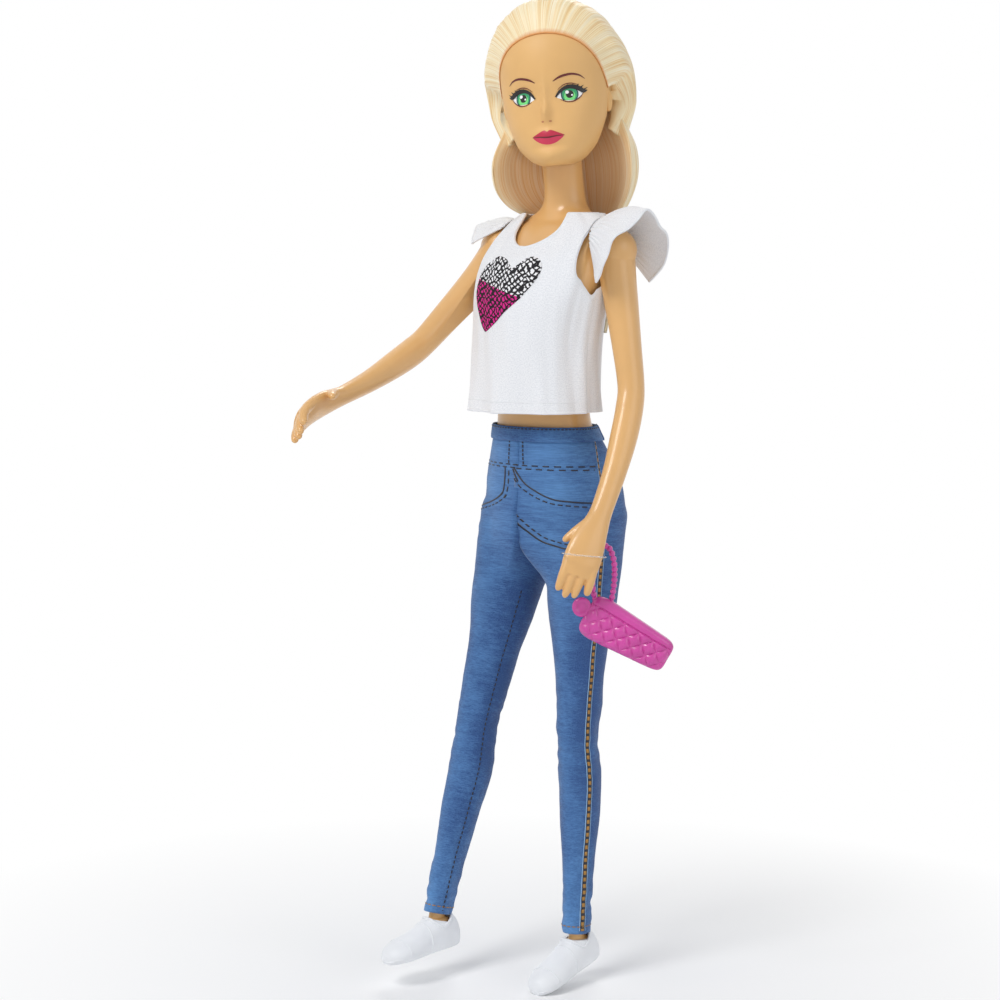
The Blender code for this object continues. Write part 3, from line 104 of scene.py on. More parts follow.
# Neck and the knob that carries the head
KNOB_RADIUS = 0.0056
# Head, above the chin
HEAD_RISE = 0.0440
HEAD_HALF_WIDTH = 0.0160
HEAD_DEPTH = 0.0186
FACE_CROWDING_SHARE = 0.42
HEAD_TURN_DEGREES = 30
HEAD_ROLL_DEGREES = 5
# Rows of height share, width share, front share and back share
HEAD_SHARES = ((-0.005, 0.26, 0.665, 0.20), (0.02, 0.42, 0.760, 0.42), (0.06, 0.56, 0.805, 0.52),
               (0.12, 0.70, 0.815, 0.62), (0.20, 0.80, 0.815, 0.73), (0.31, 0.900, 0.810, 0.85),
               (0.43, 0.960, 0.800, 0.94), (0.54, 0.985, 0.815, 0.99), (0.66, 1.0, 0.830, 1.0),
               (0.78, 0.950, 0.770, 0.93), (0.88, 0.800, 0.620, 0.76), (0.95, 0.560, 0.410, 0.52),
               (0.985, 0.300, 0.200, 0.26))
# Bumps of the face: across and height shares, spreads across and up, and how far each stands out
FACE_FORM_SHARES = ((0.0, 0.325, 0.085, 0.050, 0.120), (0.0, 0.42, 0.070, 0.110, 0.055),
                    (0.42, 0.46, 0.200, 0.060, -0.060), (-0.42, 0.46, 0.200, 0.060, -0.060),
                    (0.0, 0.175, 0.240, 0.030, 0.048), (0.0, 0.205, 0.200, 0.024, 0.030),
                    (0.0, 0.045, 0.260, 0.050, 0.040), (0.0, 0.105, 0.300, 0.022, -0.030),
                    (0.62, 0.26, 0.240, 0.110, 0.030), (-0.62, 0.26, 0.240, 0.110, 0.030))
EAR_RADIUS = 0.0030
EAR_HEIGHT_SHARE = 0.40
EAR_PLACE_SHARES = (0.93, 0.14)
EAR_FORM_SHARES = (0.42, 0.65, 1.15)

# Hair
HAIR_RISE = 0.0482
HAIR_HALF_WIDTH = 0.0222
HAIR_DEPTH = 0.0240
HAIRLINE_HALF_WIDTH = 0.0146
HAIR_DROP = 0.0490
HAIR_END_HEIGHT = CHIN_HEIGHT - HAIR_DROP
HAIR_THICKNESS = 0.0058
HAIR_SHARES = ((0.06, 0.90, 0.02, 0.86), (0.25, 0.965, 0.12, 0.93), (0.46, 1.0, 0.28, 1.0),
               (0.62, 0.96, 0.47, 0.985), (0.77, 0.82, 0.58, 0.87), (0.89, 0.62, 0.53, 0.67),
               (0.97, 0.34, 0.33, 0.38), (1.0, 0.06, 0.05, 0.08))
# Falling length: how far it reaches round the neck, and how round it lies there
FALL_SWEEP_DEGREES = 96
FALL_ROUND_SHARE = 0.22

# Arms, in the shape that both share, from the shoulder pivot outward and down
SHOULDER_OUT = 0.0183
SHOULDER_BACK = 0.0032
SHOULDER_RISE_DEGREES = 12
SHOULDER_FORWARD_DEGREES = 6
SHOULDER_BALL_RADIUS = 0.0066
ARM_REACH = 0.0800
ARM_HALF_THICKNESS = 0.0050
# Rows along the arm: places across, ahead and down, half sizes across and along, and twist of the section
ARM_SHARES = ((0.038, 0.000, 0.020, 1.16, 1.24, 0.0), (0.058, 0.002, 0.120, 1.02, 1.14, 0.0),
              (0.082, 0.008, 0.220, 0.92, 1.04, 0.0), (0.118, 0.022, 0.360, 0.80, 0.92, 0.0),
              (0.152, 0.038, 0.500, 0.72, 0.84, 0.1), (0.166, 0.063, 0.580, 0.72, 0.86, 0.2),
              (0.178, 0.108, 0.680, 0.68, 0.82, 0.5), (0.188, 0.170, 0.800, 0.58, 0.70, 0.8),
              (0.196, 0.246, 0.925, 0.49, 0.64, 1.0), (0.199, 0.284, 0.980, 0.47, 0.78, 1.0),
              (0.201, 0.329, 1.045, 0.44, 1.02, 1.0), (0.200, 0.362, 1.105, 0.41, 1.08, 1.0),
              (0.199, 0.382, 1.150, 0.30, 0.96, 1.0))
HAND_TWIST_DEGREES = 35
KNUCKLE_ROW = -3
THUMB_ROW = -7
FINGER_LENGTH = 0.0088
FINGER_RADIUS = 0.00132
FINGER_SPACING = 0.00250
# Rows for the fingers from the thumb's side: place across, length share, and spread
FINGER_SHARES = ((1.5, 0.94, 0.0), (0.5, 1.06, 0.0), (-0.5, 0.98, 0.0), (-1.5, 0.80, -0.10))
FINGER_TAPER_SHARES = ((-0.30, 1.0, 0.0), (0.15, 1.0, 0.10), (0.50, 0.94, 0.42), (0.80, 0.82, 0.80),
                       (0.96, 0.62, 1.0), (1.03, 0.22, 1.06))
THUMB_LENGTH = 0.0084
THUMB_RADIUS = 0.00140
THUMB_HEADING_SHARES = (0.86, 0.45, -0.22)
LITTLE_FINGER_CURL_SHARE = 0.75
# Bend of the fingers towards the palm, and the turn of each arm from hanging
LEFT_CURL_DEGREES = 14
RIGHT_CURL_DEGREES = 46
LEFT_ARM_TURN_DEGREES = 0
RIGHT_ARM_TURN_DEGREES = 43

# Legs, in the shape that both share, from the hip pivot
HIP_OUT = 0.0056
HIP_AXIS_BACK = 0.0010
HIP_AXIS_DROP_DEGREES = 15
THIGH_HALF_WIDTH = 0.0092
THIGH_DEPTH = 0.0110
# Rows of drop share, place across, width share, and front and back shares of depth
LEG_SHARES = ((-0.05, 0.055, 1.00, 1.00, 1.10), (0.03, 0.055, 1.02, 1.04, 1.24),
              (0.11, 0.055, 1.00, 0.98, 1.14), (0.236, 0.056, 0.97, 0.83, 0.93),
              (0.33, 0.058, 0.80, 0.67, 0.72), (0.40, 0.062, 0.68, 0.60, 0.62),
              (0.48, 0.065, 0.58, 0.57, 0.57), (0.56, 0.068, 0.525, 0.53, 0.50),
              (0.653, 0.073, 0.555, 0.46, 0.64), (0.748, 0.078, 0.48, 0.41, 0.55),
              (0.843, 0.083, 0.38, 0.365, 0.45), (0.93, 0.087, 0.33, 0.35, 0.37),
              (1.03, 0.0905, 0.28, 0.30, 0.32))
LEFT_LEG_TURN_DEGREES = 4
RIGHT_LEG_TURN_DEGREES = 15

# Feet and shoes
FOOT_LENGTH = 0.0270
FOOT_PITCH_DEGREES = 17.5
HEEL_SET_BACK = 0.0068
SOLE_DROP = 0.0086
SHOE_WALL = 0.0009
SHOE_HALF_WIDTH = 0.0053
SHOE_HEIGHT = 0.0105
SOLE_FLAT_SHARE = 0.72
# Rows along the shoe: length share, half width share, height share
SHOE_SHARES = ((-0.005, 0.34, 0.62), (0.025, 0.62, 0.80), (0.10, 0.80, 0.98), (0.22, 0.86, 1.05),
               (0.36, 0.84, 0.98), (0.50, 0.88, 0.80), (0.64, 0.98, 0.66), (0.78, 1.0, 0.58),
               (0.90, 0.86, 0.50), (0.97, 0.58, 0.40), (1.005, 0.26, 0.26))

# Jeans and shirt
CLOTH = 0.00055
JEANS_EASE = 0.00035
WAISTBAND_RISE = 0.0040
WAISTBAND_EXTRA = 0.00045
CLOSURE_THICKNESS = 0.0006
CLOSURE_LAP_DEGREES = 11
CLOSURE_EASE_DEGREES = 16
# Rows of the shirt's outline: height share from hem to neck base, then shares of the bust's width and depth
SHIRT_SHARES = ((0.0, 0.980, 1.220, 0.540), (0.22, 0.970, 1.180, 0.540), (0.40, 0.990, 1.155, 0.610),
                (0.585, 1.065, 1.095, 0.725), (0.72, 1.105, 0.900, 0.760), (0.825, 1.125, 0.600, 0.775),
                (0.915, 0.970, 0.350, 0.765), (0.98, 0.700, 0.200, 0.750))
SIDE_SEAM_DEGREES = 86
NECKLINE_HALF_WIDTH = 0.0105
NECKLINE_DEPTH = 0.0140
NECKLINE_DROP = 0.0110
NECKLINE_AHEAD = 0.0100
SLEEVE_SEAM_RADIUS = 0.0071
SLEEVE_REACH = 0.0185
SLEEVE_RADIUS = 0.0090
SLEEVE_SPREAD_SHARE = 1.35
SLEEVE_DROP = 0.0040
SLEEVE_SAG = 0.0055
SLEEVE_ARCH = 0.0022
SLEEVE_WAVE = 0.0011
SLEEVE_SIDE_SHARE = 0.45
LEFT_SLEEVE_FRONT_DEGREES = 112
RIGHT_SLEEVE_FRONT_DEGREES = 84
SLEEVE_BACK_DEGREES = 112

# Handbag: one soft moulding that hangs from its strap
# Where it hangs: across, ahead and down from the left shoulder, as shares of the arm's reach
BAG_HANG_SHARES = (0.20875, 0.25625, 1.08375)
BAG_FACING_DEGREES = 43
BAG_TILT_DEGREES = 30
BAG_CENTRE_ACROSS = 0.0070
BAG_CENTRE_DROP = 0.0227
BAG_LENGTH = 0.0270
BAG_HEIGHT = 0.0116
BAG_HALF_DEPTH = 0.0034
BAG_RIM_SHARE = 0.50
BAG_QUILT = 0.0033
BAG_QUILT_SHARE = 0.20
BAG_TAPER_SHARE = 0.12
BAG_EDGE_SHARE = 0.98
BAG_SQUARENESS = 6
BAG_STRAP_RADIUS = 0.00085
# Places along the strap: across and down from where the thread holds it, as shares of the strap's drop
BAG_STRAP_DROP = 0.0130
BAG_STRAP_SHARES = ((0.17, 1.16), (0.24, 0.72), (0.26, 0.42), (0.24, 0.10), (0.15, -0.14), (0.0, -0.21),
                    (-0.15, -0.13), (-0.22, 0.12), (-0.23, 0.46), (-0.20, 0.78), (-0.13, 1.05))
BAG_TAB_RADIUS = 0.0027
BAG_TAB_HALF_DEPTH = 0.0013
BAG_TAB_ACROSS = -0.0058
BAG_TAB_DROP = 0.0147

# Values of the finished look only, in metres

# Printed face: places across and above the chin, and half sizes
EYE_ACROSS = 0.0066
EYE_UP = 0.0189
EYE_HALF_WIDTH = 0.0035
EYE_HALF_HEIGHT = 0.0024
MOUTH_UP = 0.0075
MOUTH_HALF_WIDTH = 0.0047
MOUTH_HALF_HEIGHT = 0.0019
NOSTRIL_ACROSS = 0.0011
NOSTRIL_UP = 0.0118
NOSTRIL_HALF_SIZES = (0.00042, 0.00026)
# How far the inks are raised, and how much of the iris the lids cover
PRINT_LIFT = 0.00004
GLINT_LIFT = 0.00016
LIP_LIFT = 0.00005
LIP_LINE_LIFT = 0.00009
LOWER_LID_COVER = 0.0002
UPPER_LID_COVER = 0.0003
# Corners of the open eye and of the lips, in half sizes; the eye's outer corner is at 1
EYE_OUTLINE = ((-1.0, -0.16), (-0.72, 0.36), (-0.25, 0.80), (0.25, 0.86), (0.70, 0.60), (1.0, 0.18),
               (0.82, -0.30), (0.42, -0.66), (-0.10, -0.74), (-0.60, -0.50))
UPPER_LIP = ((-1.0, 0.05), (-0.55, 0.62), (-0.20, 0.95), (0.0, 0.74), (0.20, 0.95), (0.55, 0.62), (1.0, 0.05),
             (0.5, 0.02), (0.0, -0.08), (-0.5, 0.02))
LOWER_LIP = ((-0.94, 0.0), (-0.5, -0.02), (0.0, -0.12), (0.5, -0.02), (0.94, 0.0), (0.62, -0.72),
             (0.22, -1.10), (-0.22, -1.10), (-0.62, -0.72))
# Round prints of the eye: name, finish, radius, drop, and how far the ink is raised
IRIS_PRINTS = (("iris_rim", "iris_rim", 0.00235, -0.0001, 0.00007), ("iris", "iris", 0.00200, -0.0001, 0.00010),
               # The paler green disc set low in the iris is painted light on its lower part
               ("iris_painted_light", "iris_painted_light", 0.00150, 0.00045, 0.00012),
               ("pupil", "ink_black", 0.00105, -0.0001, 0.00014))
IRIS_SHIFT = 0.0001
IRIS_TALLNESS = 1.08
GLINTS = (("glint", -0.0007, 0.0007, 0.00048), ("small_glint", 0.0006, -0.0002, 0.00026))
# Single lashes: root and run in half sizes, and their width at the root, halfway and at the tip
LASH_WISPS = ((0.55, 0.85, 0.22, 0.36), (0.82, 0.68, 0.30, 0.36), (1.02, 0.44, 0.36, 0.30),
              (0.25, 1.00, 0.12, 0.30), (-0.1, 0.98, 0.02, 0.26))
WISP_WIDTHS = ((0, 0.00055), (0.5, 0.00030), (1, 0.00005))
LASHES = tuple((f"wisp_{k + 1}", "ink_black", 0.00018,
                tuple((u + du * s, v + dv * s, width) for s, width in WISP_WIDTHS))
               for k, (u, v, du, dv) in enumerate(LASH_WISPS))
# Strokes round the eye: name, finish, raise, then points across and up in half sizes with the stroke's width
EYE_STROKES = (
    ("upper_lash", "ink_black", 0.00020,
     ((-1.04, -0.22, 0.0004), (-0.72, 0.40, 0.0008), (-0.25, 0.86, 0.0010), (0.25, 0.93, 0.0012),
      (0.72, 0.70, 0.0013), (1.06, 0.34, 0.0011), (1.34, 0.42, 0.0001))),
    *LASHES,
    ("lower_line", "ink_brown", 0.00012,
     ((-0.70, -0.52, 0.0001), (-0.20, -0.84, 0.0002), (0.35, -0.80, 0.0003), (0.80, -0.38, 0.0003),
      (1.04, 0.10, 0.0001))),
    ("lid_crease", "ink_brown", 0.00008,
     ((-0.85, 0.66, 0.0001), (-0.35, 1.20, 0.00022), (0.25, 1.32, 0.00022), (0.80, 1.06, 0.00005))),
    ("brow", "ink_brown", 0.00008,
     ((-1.142857, 1.666667, 0.0002), (-0.571429, 2.125, 0.00060), (0.228571, 2.375, 0.00060),
      (0.857143, 2.208333, 0.00045), (1.257143, 1.75, 0.0001))))
LIP_LINE = ((-0.98, 0.06, 0.0001), (-0.5, 0.02, 0.0003), (0.0, -0.10, 0.00035), (0.5, 0.02, 0.0003),
            (0.98, 0.06, 0.0001))

# Clear coat of the vinyl, the body under the clothes, and fingers fuller than the modelled ones
COAT_ROUGHNESS = 0.1
BODY_SHRINK = 0.0008
SKIN_GRAIN = 0.00024
CROTCH_DROP = 0.0070
FINGER_LONGER = 1.10
FINGER_FULLER = 1.08

# Combed hair from the hairline back to the nape
HAIRLINE_EAR_DEGREES = -9
HAIRLINE_TOP = 0.0374
CAP_END_DEGREES = 76
CAP_END_SHARE = 0.075
CAP_TAPER_SHARE = 0.09
# Shares of the comb's way: where the cap thins, fills its side, lifts its inner face, and ends its golden tint at
# the hairline
CAP_TAPER_START = 0.76
CAP_SIDE_START = 0.88
CAP_SIDE_FILL = (0.35, 0.85)
CAP_RIM_START = 0.70
CAP_HAIRLINE_TINT_SHARE = 0.030
CAP_RISE_SHARE = 0.22
CAP_GAP = 0.0003
CAP_SINK = 0.0002
CAP_LEAST = 0.0004
SCALP_SHARES = (0.12, 0.42)
CAP_COLUMNS = 360
CAP_ROWS = 64
HAIR_EDGE_SHARE = 0.22
HAIR_LOCK_DEPTH = 0.0005
# Loose falling hair: height share, half width, inner depth and thickness shares, sweep, twist share
LOOSE_SHARES = ((1.32, 0.93, 0.70, 0.90, 0.58, 1.0), (1.15, 1.00, 0.67, 0.95, 0.73, 1.0),
                (1.0, 1.05, 0.64, 1.04, 0.88, 1.0), (0.86, 1.05, 0.67, 1.00, 0.89, 1.0),
                (0.75, 0.99, 0.70, 0.88, 0.82, 0.86), (0.66, 0.86, 0.73, 0.75, 0.73, 0.50),
                (0.56, 0.79, 0.765, 0.64, 0.60, 0.18), (0.40, 0.74, 0.765, 0.54, 0.54, 0.0),
                (0.20, 0.69, 0.750, 0.48, 0.51, 0.0), (0.0, 0.62, 0.740, 0.38, 0.46, 0.0))
FALL_COLUMNS = 170
FALL_STEPS = 76

# Knit and its sewing
KNIT_SHARE = 0.8
SLEEVE_KNIT_SHARE = 0.75
SHIRT_TOP_SHARE = 0.985
SHIRT_STEPS = 96
# Depths of the shirt's folds: pulls from the arms, creases, and the drape above the hem
SHIRT_PULL = 0.0013
SHIRT_CREASE = 0.0006
SHIRT_DRAPE = 0.0011
SIDE_SEAM_GAP_DEGREES = 0.3
KNIT_LIFT = 0.0001
NECK_BINDING_RADIUS = 0.00055
NECK_BINDING_LIFT = 0.0003
# Turned hem: name, height share, raise and radius
HEM_STRANDS = (("hem_stitch", 0.055, 0.00055, 0.00012), ("hem_edge", 0.004, 0.0003, 0.0004))
SLEEVE_ROWS = 34
SLEEVE_COLUMNS = 200
SLEEVE_RUFFLES = 5.5
SLEEVE_GATHERS = 46
SLEEVE_GATHER_DEPTH = 0.00022
SLEEVE_WAVER = 0.0005
SLEEVE_HEM_RADIUS = 0.00038
RIGHT_SLEEVE_SHARE = 0.66

# Jeans: the knee's folds, where the legs' shape gives way to the hips', and where the cloth bends with the leg
KNEE_HEIGHT = 0.0760
SEAT_LOW = 0.1200
SEAT_HIGH = 0.1340
SEAT_TOP_LOW = 0.1420
SEAT_TOP_HIGH = 0.1590
SEAT_BLEND = 0.0012
JEANS_COLUMNS = 120
JEANS_ROWS = 240
DENIM_CREASE = 0.00050
DENIM_WAVE = 0.00035
JEANS_STILL = 0.1600
JEANS_TURN = 0.1340
MIDDLE_LAP = 0.0012
PRINT_BAND_HEIGHT = 0.1574
INK_THICKNESS = 0.00003
INK_LIFT = 0.00010
INK_PIECE = 0.0004
BAND_ROWS = 18
BAND_COLUMNS = 260
BAND_PUFF = 0.00022
BELT_LOOP_DEGREES = (-128, 128)
BELT_LOOP_HALF_DEGREES = 1.9
BELT_LOOP_LAP = 0.0004
BELT_LOOP_EXTRA = 0.0007
BELT_LOOP_RISE = 0.00055
BELT_LOOP_THICKNESS = 0.0004
BAND_LAP = 0.0006
BAND_STITCH_DROP = 0.0006
BAND_STITCH_HALF_WIDTH = 0.00016
BAND_STITCH_LIFT = 0.00024
BAND_STITCH_DEGREES = 150
BAND_DASH_DEGREES = 0.9
BAND_PITCH_DEGREES = 4.4

# Shoes and bag
COLLAR_RADIUS = 0.0041
COLLAR_ROLL = 0.00042
WELT_RADIUS = 0.00030
WELT_RISE = 0.0005
SHOE_SEAM_RISE = 0.0016
SHOE_SEAM_RADIUS = 0.00018
BEAD_PITCH = 0.00135
BAG_ROWS = 96
BAG_COLUMNS = 190

# Heart on the shirt, and the slanting line between its two colours: across and height in millimetres
HEART_POINTS = ((-4.4, 217.0), (-0.6, 215.0), (1.0, 214.2), (5.3, 217.5), (9.2, 216.0), (9.9, 212.0),
                (7.0, 206.6), (0.5, 200.6), (-6.5, 196.0), (-11.0, 201.6), (-14.0, 207.5), (-13.2, 213.4),
                (-9.2, 217.4))
HEART_LINE = ((-16.0, 211.7), (11.0, 204.9))
HEART_COUNT = 150
HEART_RINGS = 18
HEART_LIFT = 0.00007

# Stage
CAMERA_TARGET = (-0.0110, -0.0102, 0.1460)
WORLD_STRENGTH = 0.54
FLOOR_NEAR = 0.05
FLOOR_FAR = 0.22
# Lamps: name, turn and rise in degrees, distance, size and power
LAMPS = (("key", 0, 46, 1.4, 0.6, 8.2), ("fill", 95, 20, 1.6, 1.0, 2.6), ("back", 215, 40, 1.5, 0.6, 3.4))

# Stitches printed on the jeans: name, ink, width, dash and gap, raise, then degrees round the leg and height.
# A dash of 0 is an unbroken line.
STITCH_STEP_DEGREES = 4
STITCH_STEP = 0.0012
SIDE_SEAM = ((66, WAIST_HEIGHT - WAISTBAND_RISE), (66, 0.150), (68, 0.120), (68, 0.080), (66, 0.050),
             (66, HEM_HEIGHT + 0.001))
SEAM_PRINTS = (
    ("side_seam_edge", "pale_denim", 0.0015, 0, 0, INK_LIFT, SIDE_SEAM),
    ("side_seam_dark", "black_stitch", 0.0011, 0, 0, 0.00014, SIDE_SEAM),
    ("side_seam", "gold_stitch", 0.0007, 0.0011, 0.0008, 0.00018, SIDE_SEAM),
    ("inseam", "black_stitch", 0.00030, 0.0009, 0.0006, INK_LIFT,
     ((-72, 0.118), (-70, 0.080), (-70, 0.050), (-68, HEM_HEIGHT + 0.001))),
    ("hem_line", "gold_stitch", 0.00028, 0.0010, 0.0005, INK_LIFT,
     tuple((angle, HEM_HEIGHT + 0.0022) for angle in range(-175, 176, 10))))
POCKET_EDGE = ("black_stitch", 0.00042, 0, 0, INK_LIFT)
POCKET_STITCH = ("black_stitch", 0.00036, 0.0015, 0.0009, INK_LIFT)
POCKETS = {
    "left": ((-38, 0.1564), (-28, 0.1515), (-5, 0.1478), (20, 0.1470), (46, 0.1468), (60, 0.1468)),
    "right": ((-26, 0.1564), (-25, 0.1500), (-22, 0.1462), (-8, 0.1435), (20, 0.1420), (56, 0.1416))}
BAND_PRINTS = (
    ("band_stitch_1", "black_stitch", 0.00036, 0.0020, 0.0015, INK_LIFT,
     tuple((angle, PRINT_BAND_HEIGHT) for angle in range(-46, 66, 11))),
    ("band_stitch_2", "black_stitch", 0.00036, 0.0020, 0.0015, INK_LIFT,
     tuple((angle, PRINT_BAND_HEIGHT - 0.0010) for angle in range(-43, 66, 11))),
    ("back_pocket", "gold_stitch", 0.00030, 0.0010, 0.0005, INK_LIFT,
     ((210, 0.1575), (208, 0.1460), (192, 0.1420), (176, 0.1420), (160, 0.1460), (158, 0.1575))),
    ("back_yoke", "gold_stitch", 0.00030, 0.0010, 0.0005, INK_LIFT, ((250, 0.1610), (200, 0.1590), (130, 0.1615))),
    ("loop_print_inner", "black_stitch", 0.00034, 0.0008, 0.0004, INK_LIFT,
     ((-43, 0.1646), (-42, PRINT_BAND_HEIGHT))),
    ("loop_print_outer", "black_stitch", 0.00034, 0.0008, 0.0004, INK_LIFT,
     ((-31, 0.1646), (-30, PRINT_BAND_HEIGHT))))
FLY = ((-47, 0.1450), (-42, 0.1410), (-30, 0.1370), (-18, 0.1345), (0, 0.1335), (16, 0.1330), (34, 0.1332))
FLY_PRINTS = (
    ("fly_edge", (1, "left"), "black_stitch", 0.00042, 0, 0, INK_LIFT, FLY),
    ("fly_stitch", (1, "left"), "black_stitch", 0.00036, 0.0014, 0.0009, INK_LIFT,
     tuple((angle + STITCH_STEP_DEGREES, height + STITCH_STEP) for angle, height in FLY)),
    ("fly_top", (-1, "right"), "black_stitch", 0.00042, 0, 0, INK_LIFT,
     ((-34, 0.1560), (-37, 0.1530), (-44, 0.1470))))
# Turned profile of the bag's clasp: depth and radius shares
CLASP_PROFILE = ((-1.0, 0.86), (-0.86, 1.0), (0.86, 1.0), (1.0, 0.86), (1.0, 0.62), (0.72, 0.52), (0.72, 0.02))

# Printed inks, from 0 to 255, and the finish of each piece that keeps its modelled shape
PRINT_COLOURS = {
    "eye_white": (246, 246, 246), "ink_black": (22, 18, 18), "iris_rim": (18, 66, 74),
    # The paler iris green is painted light on the lower iris
    "iris_painted_light": (120, 222, 126),
    # The nostril colour is painted shade inside the nostrils
    "ink_brown": (96, 26, 26), "nostril_shade_ink": (196, 128, 84), "lip_dark": (192, 40, 70),
    "gold_stitch": (168, 122, 52),
    "black_stitch": (26, 28, 40), "pale_denim": (150, 188, 226)}
PLAIN_PIECES = {
    "skin": ("neck_knob", "left_hip_plug", "right_hip_plug"), "thread": ("wrist_thread",),
    "tape": ("shirt_hook_strip", "shirt_loop_strip", "jeans_hook_strip", "jeans_loop_strip")}

FRONT = Vector((0, -1, 0))
UP = Vector((0, 0, 1))
KNOB_PLACE = Vector((0, KNOB_SET_BACK, KNOB_HEIGHT))
PLACE = Matrix.Translation(Vector(JOINTS["head_turn"]["pos_m"]) - KNOB_PLACE)
SIDES = ((1, "left"), (-1, "right"))


def tone(red, green, blue):
    """A display colour from 0 to 255 as Blender's linear colour."""
    def linear(value):
        share = value / 255
        return share / 12.92 if share <= 0.04045 else ((share + 0.055) / 1.055) ** 2.4
    return (linear(red), linear(green), linear(blue), 1)


# The doll's form, by the same rules as the modelled part

def smooth_rows(rows, steps):
    """Rows of numbers with `steps` pieces between each pair, on a Catmull-Rom curve through all of them."""
    padded = [rows[0], *rows, rows[-1]]
    made = []
    for before, start, end, after in zip(padded, padded[1:], padded[2:], padded[3:]):
        for step in range(steps):
            t = step / steps
            made.append(tuple(
                0.5 * (2 * b + (c - a) * t + (2 * a - 5 * b + 4 * c - d) * t * t
                       + (3 * b - a - 3 * c + d) * t ** 3)
                for a, b, c, d in zip(before, start, end, after)))
    return made + [tuple(rows[-1])]


def row_at(rows, height):
    """The row at a height, between the two rows that hold it."""
    for low, high in zip(rows, rows[1:]):
        if low[0] <= height <= high[0]:
            t = (height - low[0]) / (high[0] - low[0])
            return tuple(a + (b - a) * t for a, b in zip(low, high))
    return rows[0] if height < rows[0][0] else rows[-1]


def level_ring(row, grow, points, start=0):
    """A level ellipse round the body, from `start` degrees, where 0 is the front and 90 the left side."""
    height, wide, ahead, behind = row
    middle, deep = (behind - ahead) / 2, (behind + ahead) / 2
    angles = [math.radians(start + 360 * k / points) for k in range(points)]
    return [Vector(((wide + grow) * math.sin(a), middle - (deep + grow) * math.cos(a), height)) for a in angles]


def shoulder_place(side):
    return Vector((side * SHOULDER_OUT, SHOULDER_BACK, SHOULDER_HEIGHT))


def shoulder_axis(side):
    rise, ahead = math.radians(SHOULDER_RISE_DEGREES), math.radians(SHOULDER_FORWARD_DEGREES)
    return Vector((side * math.cos(rise) * math.cos(ahead), -math.cos(rise) * math.sin(ahead), math.sin(rise)))


def hip_place(side):
    return Vector((side * HIP_OUT, HIP_AXIS_BACK, HIP_HEIGHT))


def hip_axis(side):
    drop = math.radians(HIP_AXIS_DROP_DEGREES)
    return Vector((side * math.cos(drop), 0, -math.sin(drop)))


def face_relief(across, up):
    """How far the face stands out from the plain oval there, as a share of the head's depth."""
    total = 0
    for x, z, wide, tall, out in FACE_FORM_SHARES:
        total += out * math.exp(-((across - x) / wide) ** 2 - ((up - z) / tall) ** 2)
    return total


def head_rings(points, steps):
    """Level rings of the head, closer together round the face than round the back."""
    rings = []
    for share, wide, ahead, behind in smooth_rows(HEAD_SHARES, steps):
        wide, ahead, behind = wide * HEAD_HALF_WIDTH, ahead * HEAD_DEPTH, behind * HEAD_DEPTH
        middle, deep = (behind - ahead) / 2, (behind + ahead) / 2
        ring = []
        for k in range(points):
            angle = 2 * math.pi * k / points
            angle -= FACE_CROWDING_SHARE * math.sin(angle)
            x, y = wide * math.sin(angle), middle - deep * math.cos(angle)
            if math.cos(angle) > 0:
                y -= HEAD_DEPTH * math.cos(angle) * face_relief(x / HEAD_HALF_WIDTH, share)
            ring.append(Vector((x, y, CHIN_HEIGHT + share * HEAD_RISE)))
        rings.append(ring)
    return rings


def limb_frames(rows, place, reach, side):
    """Centre, tangent, side and ahead directions at each row of a limb."""
    centres = [place + Vector((side * row[0], -row[1], -row[2])) * reach for row in rows]
    frames = []
    for k, row in enumerate(rows):
        tangent = (centres[min(k + 1, len(rows) - 1)] - centres[max(k - 1, 0)]).normalized()
        out = Vector((side, 0, 0))
        out = (out - tangent * out.dot(tangent)).normalized()
        ahead = side * tangent.cross(out)
        twist = math.radians(row[5] * HAND_TWIST_DEGREES)
        frames.append((centres[k], tangent, out * math.cos(twist) + ahead * math.sin(twist),
                       ahead * math.cos(twist) - out * math.sin(twist)))
    return frames


def oval(centre, out, ahead, half_out, half_ahead, points):
    return [centre + out * half_out * math.cos(a) + ahead * half_ahead * math.sin(a)
            for a in (2 * math.pi * k / points for k in range(points))]


def ankle_place(side):
    return hip_place(side) + Vector((side * LEG_SHARES[-2][1] * LEG_DROP, 0, ANKLE_HEIGHT - HIP_HEIGHT))


def foot_directions():
    pitch = math.radians(FOOT_PITCH_DEGREES)
    return Vector((0, -math.cos(pitch), -math.sin(pitch))), Vector((0, -math.sin(pitch), math.cos(pitch)))


def bag_frame():
    """The bag's hanging point, the level way across it, along its length, up its height and out of its face."""
    facing, tilt = math.radians(BAG_FACING_DEGREES), math.radians(BAG_TILT_DEGREES)
    out, ahead, down = BAG_HANG_SHARES
    hang_point = shoulder_place(1) + Vector((out, -ahead, -down)) * ARM_REACH
    across = Vector((math.cos(facing), math.sin(facing), 0))
    along = across * math.cos(tilt) - UP * math.sin(tilt)
    rise = across * math.sin(tilt) + UP * math.cos(tilt)
    return hang_point, across, along, rise, Vector((math.sin(facing), -math.cos(facing), 0))


